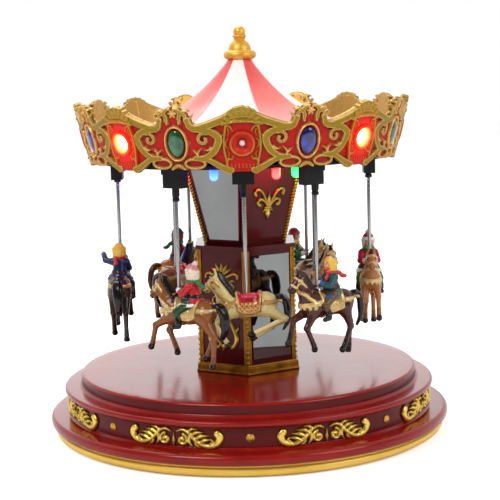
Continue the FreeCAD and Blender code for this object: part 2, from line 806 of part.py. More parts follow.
def make_cylinder():
    """Drum with raised pins, its crown pinion and the wheel that drives the governor."""
    radius = float(size("cylinder_radius"))
    pinion_x = barrel_crown_radius - size("pinion_width") / 2
    solids = [
        rod(size("cylinder_shaft_radius"), (pinion_x, 0, 0), (governor_wheel_end, 0, 0)),
        shaft_gear(count("pinion_teeth"), size("gear_module"), pinion_x, size("pinion_width"), -90),
        rod(radius, (cylinder_x, 0, 0), (cylinder_end, 0, 0)),
        shaft_gear(count("governor_wheel_teeth"), size("fine_module"), governor_wheel_x,
                   size("governor_wheel_width"), 180)]
    reach = radius + float(size("cylinder_pin_height"))
    pitch = float(size("cylinder_length")) / count("comb_teeth")
    rows = count("cylinder_pin_rows")
    for tooth in range(count("comb_teeth")):
        x = float(cylinder_x) + pitch * (tooth + 0.5)
        for note in range(2):
            angle = 2 * math.pi * ((tooth * TUNE_STEP + note * CHORD_STEP) % rows + 0.5) / rows
            way = Vector(0, math.cos(angle), math.sin(angle))
            start = Vector(x, 0, 0) + way * (radius - float(size("cylinder_pin_root")))
            solids.append(rod(size("cylinder_pin_radius"), start, Vector(x, 0, 0) + way * reach))
    keep(feature("pinned_cylinder", union(solids), shifted(0, barrel_y, cylinder_level)))


def make_governor():
    """Air-brake fan on its pinion shaft."""
    half_gap = 180 / count("governor_pinion_teeth")
    blade = float(size("fan_thickness")) / 2
    radius = size("fan_radius")
    shaft_end = fan_bracket_x + size("bracket_thickness")
    solids = [
        rod(size("fan_shaft_radius"), (far_bracket_x, 0, 0), (shaft_end, 0, 0)),
        shaft_gear(count("governor_pinion_teeth"), size("fine_module"), governor_wheel_x,
                   size("governor_wheel_width"), half_gap),
        box((fan_x, -radius, -blade), (fan_end, radius, blade)),
        box((fan_x, -blade, -radius), (fan_end, blade, radius))]
    keep(feature("governor", union(solids), shifted(0, governor_y, cylinder_level)))


def hex_wire(radius, level):
    corners = [bearing_point(radius, HEX_STEP * index, level) for index in range(HEX_SIDES)]
    return Part.makePolygon(corners + corners[:1])


def hex_loft(low_radius, low, high_radius, high):
    return Part.makeLoft([hex_wire(low_radius, low), hex_wire(high_radius, high)], True, True)


def hex_prism(name, radius, level, height):
    return primitive("Prism", name, (0, 0, level), -90, Polygon=HEX_SIDES, Circumradius=radius, Height=height)


def on_face(bearing, low_level, low_radius, high_level, high_radius):
    """Placement on a column face: X across, Y up the slope, Z outward, origin at its middle."""
    low = Vector(float(low_radius) * HEX_FLAT, 0, float(low_level))
    high = Vector(float(high_radius) * HEX_FLAT, 0, float(high_level))
    slope = high - low
    slope.normalize()
    across = Vector(0, 1, 0)
    out = across.cross(slope)
    turn = Rotation(across, slope, out, "ZXY")
    return radial_frame(bearing).multiply(Placement((low + high) * 0.5, turn))


def face_plate(place, low_half, high_half, half_height, thickness):
    corners = ((-low_half, -half_height, 0), (low_half, -half_height, 0),
               (high_half, half_height, 0), (-high_half, half_height, 0))
    return moved(prism(corners, Vector(0, 0, float(thickness))), place)


def make_column():
    tube = rod(size("tube_radius"), (0, 0, tube_bottom), (0, 0, ceiling_level))
    gear = spur_gear(count("drive_gear_teeth"), size("gear_module"), size("drive_gear_thickness"),
                     90 + 180 / count("drive_gear_teeth"))
    gear = moved(gear, Placement(Vector(0, 0, float(tube_bottom)), Rotation()))
    bore = rod(size("post_radius") + size("slip_gap"), (0, 0, tube_bottom), (0, 0, ceiling_level))
    keep(feature("drive_tube", tube.fuse(gear).cut(bore)))

    seat = size("tube_radius") + size("seat_gap")
    moulding = size("foot_moulding_height")
    foot_block = hex_prism("foot_block", size("foot_moulding_radius"), column_foot_bottom, moulding)
    keep(cut("column_foot", foot_block, cylinder("foot_bore", seat, moulding, (0, 0, column_foot_bottom))))

    wall = size("column_wall") / HEX_FLAT
    shaft_height = size("column_lower_height") - size("ledge_height")
    ledge_level = ledge_top - size("ledge_height")
    walls = cut("lower_walls", hex_prism("lower_outer", size("column_radius"), column_bottom, shaft_height),
                hex_prism("lower_inner", size("column_radius") - wall, column_bottom, shaft_height))
    ledge_block = hex_prism("ledge_block", size("ledge_radius"), ledge_level, size("ledge_height"))
    ledge_bore = cylinder("ledge_bore", seat, size("ledge_height"), (0, 0, ledge_level))
    ledge = cut("ledge_plate", ledge_block, ledge_bore)
    keep(fused("column_lower", walls, ledge))

    outer = hex_loft(size("waist_radius"), ledge_top, size("flare_radius"), ceiling_level)
    inner = hex_loft(size("waist_radius") - wall, ledge_top, size("flare_radius") - wall, ceiling_level)
    keep(feature("column_upper", outer.cut(inner)))
    make_column_trim(outer, shaft_height)


def make_column_trim(upper_block, shaft_height):
    lower_mid = float(column_bottom + shaft_height / 2)
    slope_height = math.hypot(float(size("column_upper_height")),
                              float(size("flare_radius") - size("waist_radius")) * HEX_FLAT)
    margin = float(size("mirror_margin"))
    lower_half = float(size("column_radius")) / 2 - margin
    low_half = float(size("waist_radius")) / 2 - margin
    high_half = float(size("flare_radius")) / 2 - margin
    mirrors = []
    reliefs = []
    for index in range(HEX_SIDES):
        bearing = -HEX_STEP / 2 + HEX_STEP * index
        lower = on_face(bearing, lower_mid - 1, size("column_radius"), lower_mid + 1, size("column_radius"))
        upper = on_face(bearing, ledge_top, size("waist_radius"), ceiling_level, size("flare_radius"))
        if index % 2 == 0:
            mirrors.append(face_plate(upper, low_half, high_half, slope_height / 2 - margin,
                                      size("mirror_thickness")))
            reliefs.append(moved(lower_relief(), lower))
        else:
            mirrors.append(face_plate(lower, lower_half, lower_half, float(shaft_height) / 2 - margin,
                                      size("mirror_thickness")))
            reliefs.append(moved(upper_relief(), upper))
    keep(feature("column_mirrors", Part.makeCompound(mirrors)))
    keep(feature("panel_ornaments", Part.makeCompound(reliefs)))

    shaft_top = column_bottom + shaft_height
    lower_block = hex_loft(size("column_radius"), column_bottom, size("column_radius"), shaft_top)
    strips = []
    for index in range(HEX_SIDES):
        bearing = HEX_STEP * index
        low = bearing_point(size("column_radius"), bearing, column_bottom)
        high = bearing_point(size("column_radius"), bearing, shaft_top)
        strips.append(rod(size("bead_radius"), low, high).cut(lower_block))
        waist = bearing_point(size("waist_radius"), bearing, ledge_top)
        flare = bearing_point(size("flare_radius"), bearing, ceiling_level)
        run = flare - waist
        run.normalize()
        inset = run * float(size("bead_radius"))
        strips.append(rod(size("bead_radius"), waist + inset, flare - inset).cut(upper_block))
    keep(feature("column_frame", Part.makeCompound(strips)))


# Leaves of the panel ornaments: turn from the X axis in degrees, length, width and height of the root.
BRANCH_LEAVES = tuple((turn, 10.5, 3.0, 0) for turn in (30, 60, 120, 150, -30, -60, -120, -150))
LOWER_LEAVES = BRANCH_LEAVES + (
    (90, 13, 4.5, 0), (90, 13, 4.0, 11), (50, 13, 4.0, 11), (130, 13, 4.0, 11),
    (-90, 13, 4.5, 0), (-90, 13, 4.0, -11), (-50, 13, 4.0, -11), (-130, 13, 4.0, -11))
LOWER_RING = (3.0, 1.2)
UPPER_LEAVES = ((-90, 12, 4.6, 0), (90, 17, 3.6, -1.5), (65, 15, 3.6, -1.5), (115, 15, 3.6, -1.5),
                (35, 11, 3.6, -1.5), (145, 11, 3.6, -1.5))


def spray(leaves):
    """Leaves of a panel ornament, X across the panel and Y up it."""
    solids = []
    for turn, length, width, root in leaves:
        leaf = petal(length, width, size("relief_height"))
        leaf.rotate(Vector(), UP, turn)
        leaf.translate(Vector(0, root, 0))
        solids.append(leaf)
    return solids


def lower_relief():
    return union([scroll_ring(*LOWER_RING, float(size("relief_height")))] + spray(LOWER_LEAVES))


def upper_relief():
    return union(spray(UPPER_LEAVES))


def sleeve_block(circle, bearing, low, high, spare):
    """Slot-shaped block round a pole: room for the crank's swing along the rim."""
    along = size("crank_throw") + size("hanger_radius") + size("run_gap") + spare
    across = size("hanger_radius") + size("run_gap") + spare
    block = box((circle - across, -along, low), (circle + across, along, high))
    return moved(block, radial_frame(bearing))


def horse_places():
    """Number, circle, bearing and phase of every horse."""
    rows = [("outer_circle", bearing, phase) for bearing, phase in OUTER_HORSES]
    rows += [("inner_circle", bearing, phase) for bearing, phase in INNER_HORSES]
    return [(number, size(circle), circle, bearing, phase)
            for number, (circle, bearing, phase) in enumerate(rows, start=1)]


def bearing_spans(circle):
    """Radial places of the two bearing blocks of a crank."""
    first = crown_radius + size("pinion_width") / 2 + size("gear_module") * 3
    web = circle - size("hanger_eye_width") / 2 - 2 * size("run_gap") - size("crank_web_thickness")
    last = web - 2 * size("run_gap") - size("bearing_thickness")
    return first, last, web


def make_ceiling():
    plate_radius = size("board_radius") - size("board_thickness") - size("run_gap")
    disc = rod(plate_radius, (0, 0, ceiling_level), (0, 0, ceiling_top))
    hub_hole = rod(size("post_radius") + size("run_gap"), (0, 0, ceiling_level), (0, 0, ceiling_top))
    slots = []
    sleeves = []
    saddles = []
    bores = []
    half = size("bearing_width") / 2
    saddle_top = crank_level + size("crank_shaft_radius") + size("sleeve_wall")
    for _number, circle, _name, bearing, _phase in horse_places():
        slots.append(sleeve_block(circle, bearing, ceiling_level, ceiling_top, 0))
        sleeve_low = ceiling_level - size("sleeve_drop")
        tube = sleeve_block(circle, bearing, sleeve_low, ceiling_level, size("sleeve_wall"))
        sleeves.append(tube.cut(sleeve_block(circle, bearing, sleeve_low, ceiling_level, 0)))
        first, last, _web = bearing_spans(circle)
        for start in (first, last):
            block = box((start, -half, ceiling_top), (start + size("bearing_thickness"), half, saddle_top))
            saddles.append(moved(block, radial_frame(bearing)))
        bore = rod(size("crank_shaft_radius") + size("slip_gap"), (first, 0, crank_level),
                   (last + size("bearing_thickness"), 0, crank_level))
        bores.append(moved(bore, radial_frame(bearing)))
    clips = []
    clip_start = size("cell_length") / 2 + size("run_gap") + size("clip_spare")
    clip_half = size("clip_width") / 2
    for bearing in CELL_BEARINGS:
        for side in (1, -1):
            ends = sorted((float(clip_start) * side, float(clip_start + size("clip_thickness")) * side))
            clip = box((size("cell_circle") - clip_half, ends[0], ceiling_top),
                       (size("cell_circle") + clip_half, ends[1], ceiling_top + size("clip_width")))
            clips.append(moved(clip, radial_frame(bearing)))
    neck = size("switch_neck_width") / 2 + size("slip_gap")
    switch_slot = box((size("switch_circle") - neck, -neck, ceiling_level),
                      (size("switch_circle") + neck, neck + size("switch_travel"), ceiling_top))
    slots.append(moved(switch_slot, radial_frame(SWITCH_BEARING)))
    lead = bearing_point(size("lead_hole_circle"), LEAD_BEARING, 0)
    lead_hole = rod(size("lead_hole_radius"), (lead.x, lead.y, ceiling_level), (lead.x, lead.y, ceiling_top))
    plate = union([disc] + saddles + clips).cut([hub_hole, lead_hole] + slots + bores)
    keep(feature("ceiling_plate", plate))
    keep(feature("pole_sleeves", Part.makeCompound(sleeves)))
    make_cells()
    make_switch()


def make_cells():
    cells = []
    level = ceiling_top + size("cell_radius") + size("seat_gap")
    half = size("cell_length") / 2
    circle = size("cell_circle")
    shoulder = half - size("cell_cap_height")
    for bearing in CELL_BEARINGS:
        body = rod(size("cell_radius"), (circle, -half, level), (circle, shoulder, level))
        cap = rod(size("cell_cap_radius"), (circle, shoulder, level), (circle, half, level))
        cells.append(moved(body.fuse(cap), radial_frame(bearing)))
    keep(feature("batteries", Part.makeCompound(cells)))


def make_switch():
    neck = size("switch_neck_width") / 2
    knob_top = ceiling_level - size("slip_gap")
    half_length = size("switch_knob_length") / 2
    half_width = size("switch_knob_width") / 2
    head_low = ceiling_top + size("slip_gap")
    circle = size("switch_circle")
    solids = [
        box((circle - half_width, -half_length, knob_top - size("switch_knob_height")),
            (circle + half_width, half_length, knob_top)),
        box((circle - neck, -neck, knob_top), (circle + neck, neck, head_low)),
        box((circle - half_width, -half_length, head_low),
            (circle + half_width, half_length, head_low + size("switch_head_height")))]
    keep(feature("switch_slider", union(solids), radial_frame(SWITCH_BEARING)))


def board_radius_at(level):
    share = (float(level) - float(board_bottom)) / float(size("board_height"))
    return size("board_radius") + size("board_flare") * share


def flat_lift(half_width, radius):
    """How far a flat back stands off a round wall so that its edges just clear it."""
    return half_width * half_width / (2 * radius) + size("seat_gap")


def make_canopy():
    board_top = board_bottom + size("board_height")
    top_radius = size("board_radius") + size("board_flare")
    outer = Part.makeCone(float(size("board_radius")), float(top_radius), float(size("board_height")),
                          Vector(0, 0, float(board_bottom)))
    inner = Part.makeCone(float(size("board_radius") - size("board_thickness")),
                          float(top_radius - size("board_thickness")), float(size("board_height")),
                          Vector(0, 0, float(board_bottom)))
    step = 360 / count("panel_count")
    level = board_bottom + size("gem_level")
    reach = board_radius_at(level)
    tilt = math.degrees(math.atan2(float(size("board_flare")), float(size("board_height"))))
    crests = [Part.makeCylinder(float(top_radius + size("board_flare")), float(size("board_valley")),
                                Vector(0, 0, float(board_bottom)))]
    crest_level = board_top - size("crest_radius")
    sockets = []
    lamps = []
    gems = {"gems_green": [], "gems_blue": []}
    for index in range(count("panel_count")):
        crest = rod(size("crest_radius"), (size("board_radius") / 2, 0, crest_level),
                    (top_radius + size("board_flare"), 0, crest_level))
        crests.append(moved(crest, radial_frame(step * index)))
        facing = Rotation(Vector(0, 1, 0), 90 + tilt)
        place = radial_frame(step * index).multiply(Placement(Vector(float(reach), 0, float(level)), facing))
        if index % 2 == 0:
            socket_radius = float(size("socket_radius"))
            depth = float(size("socket_depth"))
            socket = Part.makeCone(socket_radius, socket_radius * SOCKET_TAPER, depth)
            hole = Part.makeCylinder(float(size("lamp_radius") + size("seat_gap")), depth)
            sockets.append(moved(socket.cut(hole), place))
            lamp = Part.makeCylinder(float(size("lamp_radius")), float(size("lamp_length")))
            crown = Vector(0, 0, float(size("lamp_length")))
            dome = Part.makeSphere(float(size("lamp_radius")), crown, UP, 0, 90, 360)
            lift = shifted(0, 0, flat_lift(size("lamp_radius"), reach))
            lamps.append(moved(lamp.fuse(dome), place.multiply(lift)))
        else:
            name = "gems_green" if index % 4 == 3 else "gems_blue"
            lift = shifted(0, 0, flat_lift(size("gem_half_width"), reach))
            gems[name].append(moved(gem(), place.multiply(lift)))
    ring = outer.cut(inner).common(union(crests))
    sector = Part.makeCylinder(float(top_radius + size("board_flare")), float(board_top),
                               Vector(), UP, 2 * step - SEAM_ANGLE)
    boards = [ring.common(moved(sector, radial_frame(2 * step * index + SEAM_ANGLE / 2)))
              for index in range(len(sockets))]
    keep(feature("rounding_boards", Part.makeCompound(boards + [socket.cut(outer) for socket in sockets])))
    for name, stones in gems.items():
        keep(feature(name, Part.makeCompound(stones)))
    keep(feature("crown_lamps", Part.makeCompound(lamps)))
    make_tent()
    make_finial()
    make_lamp_string()


def gem():
    """Oval cabochon with a bevelled edge, rising along +Z; its long side lies along X."""
    rings = []
    half_height = float(size("gem_half_height"))
    half_width = float(size("gem_half_width"))
    for share, rise in ((1.0, 0.0), (1.0, 0.3), (0.8, 0.7), (0.5, 1.0)):
        middle = Vector(0, 0, rise * float(size("gem_rise")))
        ellipse = Part.Ellipse(middle, half_height * share, half_width * share)
        rings.append(Part.Wire(ellipse.toShape()))
    return Part.makeLoft(rings, True, True)


def tent_curve(drop):
    """Sagging line of the tent from its top to its rim, as (share of radius, share of height)."""
    rim_level = tent_rim - size("tent_thickness")
    rim_radius = float(board_radius_at(rim_level) - size("board_thickness") - size("run_gap"))
    top_radius = float(size("tent_top_radius"))
    shares = ((0, 1), (0.053, 0.884), (0.135, 0.727), (0.233, 0.568), (0.378, 0.375), (0.588, 0.182),
              (0.8, 0.07), (1, 0))
    points = []
    for out, rise in shares:
        radius = top_radius + (rim_radius - top_radius) * out
        points.append(Vector(radius, 0, float(tent_rim) + float(size("tent_height")) * rise - drop))
    curve = Part.BSplineCurve()
    curve.interpolate(points)
    return curve.toShape(), points[0], points[-1]


def make_tent():
    """Eight gores, one for each stripe, round a small cap that carries the finial."""
    skin, top, rim = tent_curve(0)
    lining, low_top, low_rim = tent_curve(float(size("tent_thickness")))
    edges = [skin, Part.makeLine(rim, low_rim), lining, Part.makeLine(low_top, top)]
    section = Part.Face(Part.Wire(Part.__sortEdges__(edges)))
    gores = count("panel_count") // 2
    sweep = 360 / gores - SEAM_ANGLE
    gore = section.revolve(Vector(), UP, sweep)
    solids = [moved(gore, radial_frame(360 / gores * index - sweep / 2)) for index in range(gores)]
    cap_radius = size("tent_top_radius") - size("seat_gap")
    solids.append(rod(cap_radius, (0, 0, tent_top - size("tent_thickness")), (0, 0, tent_top)))
    keep(feature("tent_roof", Part.makeCompound(solids)))


def make_finial():
    """Gilt knob turned from one section: round rim, dome, collar and ball."""
    base = float(tent_top)
    tube = float(size("finial_ring_tube"))
    rim = float(size("finial_ring_radius"))
    dome = float(size("finial_dome_radius"))
    neck = float(size("finial_neck_radius"))
    collar = float(size("finial_collar_radius"))
    collar_height = float(size("finial_collar_height"))
    ball = float(size("finial_ball_radius"))
    top = base + float(size("finial_height"))
    ball_low = top - ball - math.sqrt(ball * ball - neck * neck)
    dome_low = base + 2 * tube
    dome_high = dome_low + math.sqrt(dome * dome - neck * neck)
    turn = math.acos(neck / dome) / 2
    collar_low = ball_low - collar_height
    stops = [Vector(0, 0, base), Vector(rim, 0, base), Vector(rim, 0, dome_low), Vector(dome, 0, dome_low),
             Vector(neck, 0, dome_high), Vector(neck, 0, collar_low), Vector(collar, 0, collar_low),
             Vector(collar, 0, ball_low), Vector(neck, 0, ball_low), Vector(0, 0, top)]
    bows = {1: Vector(rim + tube, 0, base + tube),
            3: Vector(dome * math.cos(turn), 0, dome_low + dome * math.sin(turn)),
            8: Vector(ball, 0, top - ball)}
    edges = []
    for index, (start, end) in enumerate(zip(stops, stops[1:] + stops[:1])):
        if index in bows:
            edges.append(Part.Arc(start, bows[index], end).toShape())
        elif (end - start).Length > 1e-6:
            edges.append(Part.makeLine(start, end))
    section = Part.Face(Part.Wire(Part.__sortEdges__(edges)))
    keep(feature("finial", section.revolve(Vector(), UP, 360)))


def make_lamp_string():
    """One loop of wire under the ceiling with small lamps hanging from it."""
    level = ceiling_level - size("run_gap") - size("string_wire_radius")
    middle = Vector(0, 0, float(level))
    solids = [Part.makeTorus(float(size("string_radius")), float(size("string_wire_radius")), middle)]
    lamp_top = level - size("string_wire_radius") - size("seat_gap")
    for bearing in STRING_BEARINGS:
        place = bearing_point(size("string_radius"), bearing, 0)
        lens_low = lamp_top - size("string_lamp_length")
        lamp = rod(size("lamp_radius"), (place.x, place.y, lens_low), (place.x, place.y, lamp_top))
        dome = Part.makeSphere(float(size("lamp_radius")), Vector(place.x, place.y, float(lens_low)))
        solids.append(lamp.fuse(dome))
    keep(feature("lamp_string", Part.makeCompound(solids)))


def make_crown_wheel():
    teeth, _inner, outer = crown_ring(count("crown_teeth"), crown_root, 180 / count("crown_teeth"))
    disc = rod(outer, (0, 0, crown_bottom), (0, 0, crown_root))
    hub = rod(size("crown_hub_radius"), (0, 0, crown_root), (0, 0, crown_root + size("crown_hub_height")))
    bore = rod(size("post_radius") + size("seat_gap"), (0, 0, crown_bottom),
               (0, 0, crown_root + size("crown_hub_height")))
    keep(feature("crown_wheel", union([disc, hub] + teeth).cut(bore)))


def make_cranks():
    for number, circle, _name, bearing, phase in horse_places():
        _first, _last, web = bearing_spans(circle)
        angle = math.radians(phase)
        pin_y = float(size("crank_throw")) * math.cos(angle)
        pin_z = float(size("crank_throw")) * math.sin(angle)
        web_end = web + size("crank_web_thickness")
        eye_end = circle + size("hanger_eye_width") / 2 + size("run_gap")
        cap_end = eye_end + size("crank_cap_width")
        pinion_x = crown_radius - size("pinion_width") / 2
        arm = box((web, 0, -crank_web_radius), (web_end, size("crank_throw"), crank_web_radius))
        arm.rotate(Vector(), OUTWARD, phase)
        solids = [
            shaft_gear(count("pinion_teeth"), size("gear_module"), pinion_x, size("pinion_width"), -90),
            rod(size("crank_shaft_radius"), (pinion_x, 0, 0), (web_end, 0, 0)),
            rod(crank_web_radius, (web, 0, 0), (web_end, 0, 0)),
            rod(crank_web_radius, (web, pin_y, pin_z), (web_end, pin_y, pin_z)),
            arm,
            rod(size("crank_pin_radius"), (web, pin_y, pin_z), (eye_end, pin_y, pin_z)),
            rod(size("crank_cap_radius"), (eye_end, pin_y, pin_z), (cap_end, pin_y, pin_z))]
        keep(feature(f"crank_{number}", union(solids), radial_frame(bearing, crank_level)))


def make_poles():
    eye_radius = size("hanger_radius")
    for number, circle, _name, bearing, phase in horse_places():
        angle = math.radians(phase)
        pin = Vector(float(circle), float(size("crank_throw")) * math.cos(angle),
                     float(crank_level) + float(size("crank_throw")) * math.sin(angle))
        half = float(size("hanger_eye_width")) / 2
        low = pin.z - float(size("hanger_drop"))
        socket_top = low + float(size("hanger_socket"))
        eye = rod(eye_radius, (pin.x - half, pin.y, pin.z), (pin.x + half, pin.y, pin.z))
        shoulder = pin.z - float(size("crank_throw") + crank_web_radius + size("run_gap"))
        stem = rod(eye_radius, (pin.x, pin.y, low), (pin.x, pin.y, shoulder))
        link_half = float(eye_radius) * LINK_SHARE
        link = box((pin.x - half, pin.y - link_half, shoulder - half),
                   (pin.x + half, pin.y + link_half, pin.z))
        pin_hole = rod(size("crank_pin_radius") + size("slip_gap"), (pin.x - half, pin.y, pin.z),
                       (pin.x + half, pin.y, pin.z))
        socket = rod(size("pole_radius") + size("seat_gap"), (pin.x, pin.y, low), (pin.x, pin.y, socket_top))
        hanger = union([eye, stem, link]).cut([pin_hole, socket])
        pole_low = low - float(size("pole_drop")) - float(size("pole_seat_depth"))
        pole = rod(size("pole_radius"), (pin.x, pin.y, pole_low), (pin.x, pin.y, socket_top))
        solids = [moved(solid, radial_frame(bearing)) for solid in (hanger, pole)]
        keep(feature(f"pole_{number}", Part.makeCompound(solids)))


def limb(start, end, start_radius, end_radius):
    """A tapered limb with ball ends, as one turned solid."""
    start = Vector(*start)
    end = Vector(*end)
    length = (end - start).Length
    lean = (start_radius - end_radius) / length
    width = math.sqrt(1 - lean * lean)
    near = Vector(start_radius * width, 0, start_radius * lean)
    far = Vector(end_radius * width, 0, length + end_radius * lean)
    near_low = Vector(0, 0, -start_radius)
    far_high = Vector(0, 0, length + end_radius)
    wide = math.sqrt((1 + lean) / 2)
    narrow = math.sqrt((1 - lean) / 2)
    near_half = Vector(start_radius * wide, 0, -start_radius * narrow)
    far_half = Vector(end_radius * narrow, 0, length + end_radius * wide)
    edges = [Part.Arc(near_low, near_half, near).toShape(), Part.makeLine(near, far),
             Part.Arc(far, far_half, far_high).toShape(), Part.makeLine(far_high, near_low)]
    solid = Part.Face(Part.Wire(edges)).revolve(Vector(), UP, 360)
    solid.Placement = Placement(start, Rotation(UP, end - start))
    return solid


# Horse figures in millimetres: X forward from the middle of the barrel, Y to the left side,
# Z up from the saddle seat. Each limb runs from a joint to the next with a radius at each.
TRUNK = (
    ((9.5, 0, -6.6), (-10.5, 0, -6.2), 7.0, 7.3),
    ((12.5, 0, -4.0), (18.0, 0, 9.0), 5.4, 3.3),
    ((18.4, 0, 11.0), (24.0, 0, 5.6), 3.3, 2.0),
    ((9.5, 0, 2.0), (16.2, 0, 13.2), 1.6, 1.9),
    ((-17.0, 0, -3.0), (-23.5, 0, -8.0), 2.0, 2.5),
    ((-23.5, 0, -8.0), (-24.0, 0, -17.0), 2.4, 1.1),
    ((17.6, 1.7, 13.2), (18.2, 2.1, 16.8), 1.0, 0.45),
    ((17.6, -1.7, 13.2), (18.2, -2.1, 16.8), 1.0, 0.45),
    ((3.0, 0, -0.8), (-6.0, 0, -0.8), 2.3, 2.3),
    ((-9.5, 0, -0.6), (-10.5, 0, 0.6), 2.6, 1.6),
)
PRANCING_LEGS = (
    ((11.0, 3.4, -9.0), (20.5, 3.8, -14.0), 3.2, 1.7),
    ((20.5, 3.8, -14.0), (23.2, 3.8, -24.6), 1.6, 1.5),
    ((10.5, -3.4, -9.0), (16.0, -3.8, -18.0), 3.2, 1.7),
    ((16.0, -3.8, -18.0), (11.5, -3.8, -28.5), 1.6, 1.5),
    ((-11.5, 3.6, -8.0), (-19.5, 4.0, -19.0), 4.2, 1.8),
    ((-19.5, 4.0, -19.0), (-18.5, 4.0, -33.5), 1.7, 1.5),
    ((-10.5, -3.6, -8.0), (-14.5, -4.0, -20.0), 4.2, 1.8),
    ((-14.5, -4.0, -20.0), (-10.0, -4.0, -31.0), 1.7, 1.5),
)
GALLOPING_LEGS = (
    ((11.0, 3.4, -9.0), (19.5, 3.8, -15.0), 3.2, 1.7),
    ((19.5, 3.8, -15.0), (12.5, 3.8, -27.0), 1.6, 1.5),
    ((10.5, -3.4, -9.0), (20.5, -3.8, -17.0), 3.2, 1.7),
    ((20.5, -3.8, -17.0), (15.0, -3.8, -25.5), 1.6, 1.5),
    ((-11.5, 3.6, -7.0), (-22.5, 4.0, -13.5), 4.2, 1.8),
    ((-22.5, 4.0, -13.5), (-5.0, 4.0, -21.5), 1.7, 1.5),
    ((-10.5, -3.6, -7.0), (-20.0, -4.0, -16.5), 4.2, 1.8),
    ((-20.0, -4.0, -16.5), (-6.0, -4.0, -25.0), 1.7, 1.5),
)
RIDER = (
    ((-4.2, 0, 2.2), (-3.6, 0, 10.4), 5.4, 3.7),
    ((-2.8, 0, 17.6), (-3.2, 0, 19.4), 4.2, 4.0),
    ((-3.6, 0, 11.6), (-3.2, 0, 15.0), 2.2, 2.2),
    ((-3.6, 4.4, 10.0), (1.5, 4.6, 5.0), 1.9, 1.5),
    ((1.5, 4.6, 5.0), (5.2, 2.2, 6.5), 1.4, 1.3),
    ((-3.6, -4.4, 10.0), (1.5, -4.6, 5.0), 1.9, 1.5),
    ((1.5, -4.6, 5.0), (5.2, -2.2, 6.5), 1.4, 1.3),
    ((-3.0, 4.6, 0.4), (4.6, 6.8, -5.0), 2.7, 2.2),
    ((4.6, 6.8, -5.0), (2.4, 7.2, -12.5), 2.1, 1.7),
    ((-3.0, -4.6, 0.4), (4.6, -6.8, -5.0), 2.7, 2.2),
    ((4.6, -6.8, -5.0), (2.4, -7.2, -12.5), 2.1, 1.7),
)


def make_horses():
    seat = float(crank_level - size("hanger_drop") - size("pole_drop"))
    ridden = union([limb(*row) for row in TRUNK + PRANCING_LEGS + RIDER])
    riderless = union([limb(*row) for row in TRUNK + GALLOPING_LEGS])
    lead = float(size("pole_lead"))
    hole_radius = float(size("pole_radius") + size("seat_gap"))
    depth = float(size("pole_seat_depth"))
    figures = {"outer_circle": (ridden, lead), "inner_circle": (riderless, 0.0)}
    castings = {}
    for circle, (figure, ahead) in figures.items():
        hole = Part.makeCylinder(hole_radius, float(size("pole_drop")), Vector(ahead, 0, -depth))
        castings[circle] = figure.cut(hole)
    for number, circle, name, bearing, phase in horse_places():
        angle = math.radians(phase)
        swing = float(size("crank_throw")) * math.cos(angle)
        lift = float(size("crank_throw")) * math.sin(angle)
        stand = Placement(Vector(float(circle), swing, seat + lift), Rotation(UP, -90))
        place = radial_frame(bearing).multiply(stand).multiply(shifted(-figures[name][1], 0, 0))
        keep(feature(f"horse_{number}", castings[name], place))


make_base()
make_movement()
make_column()
make_ceiling()
make_canopy()
make_crown_wheel()
make_cranks()
make_poles()
make_horses()

doc.recompute()
for item in doc.Objects:
    if "Invalid" in item.State or "Error" in item.State:
        raise RuntimeError(f"{item.Label} failed to build: {item.State}")
for node in nodes:
    if node.Shape.isNull() or not node.Shape.isValid():
        raise RuntimeError(f"{node.Label} has no valid shape")

os.makedirs("parts", exist_ok=True)
for node in nodes:
    node.Shape.exportStep(f"parts/{node.Label}.step")
print(f"{len(nodes)} sub-parts written")
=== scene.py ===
import math

import bpy
import numpy as np
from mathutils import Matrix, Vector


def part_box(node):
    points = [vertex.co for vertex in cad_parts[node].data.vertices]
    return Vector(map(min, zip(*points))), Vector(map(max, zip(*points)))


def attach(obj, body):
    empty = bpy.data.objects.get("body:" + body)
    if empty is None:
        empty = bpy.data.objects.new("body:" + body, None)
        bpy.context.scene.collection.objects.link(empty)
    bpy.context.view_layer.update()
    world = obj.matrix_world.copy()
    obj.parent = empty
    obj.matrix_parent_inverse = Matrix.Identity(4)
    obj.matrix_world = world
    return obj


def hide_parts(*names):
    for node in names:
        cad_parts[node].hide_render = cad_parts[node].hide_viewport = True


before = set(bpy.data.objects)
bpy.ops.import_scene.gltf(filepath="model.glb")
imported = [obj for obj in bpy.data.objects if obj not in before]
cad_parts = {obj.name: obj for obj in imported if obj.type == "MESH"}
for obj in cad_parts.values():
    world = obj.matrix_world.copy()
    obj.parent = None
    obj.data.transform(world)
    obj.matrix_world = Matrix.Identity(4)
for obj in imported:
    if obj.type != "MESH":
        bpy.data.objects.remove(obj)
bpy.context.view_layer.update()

import openvdb
from mathutils import Matrix, Vector

mm = 0.001
print("frame loaded:", len(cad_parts), "nodes")


def linear(hexText):  # sRGB hex to the linear colour that shaders take
    parts = [int(hexText[i:i + 2], 16) / 255 for i in (1, 3, 5)]
    return tuple(c / 12.92 if c <= 0.04045 else ((c + 0.055) / 1.055) ** 2.4 for c in parts) + (1.0,)


def rgb(hexText):
    return np.array(linear(hexText)[:3])


def twoTone(dark, light, share):  # a colour per point, between two tones
    return rgb(dark) * (1 - share[:, None]) + rgb(light) * share[:, None]


def addNode(tree, kind, settings=None, links=None):
    node = tree.nodes.new(kind)
    for key, value in (settings or {}).items():
        if isinstance(key, int) or key in node.inputs:
            node.inputs[key].default_value = value
        else:
            setattr(node, key, value)
    for key, source in (links or {}).items():
        tree.links.new(source, node.inputs[key])
    return node


def newMaterial(name, **settings):
    material = bpy.data.materials.new(name)
    material.use_nodes = True
    shader = material.node_tree.nodes["Principled BSDF"]
    for key, value in settings.items():
        shader.inputs[key.replace("_", " ")].default_value = value
    return material, material.node_tree, shader


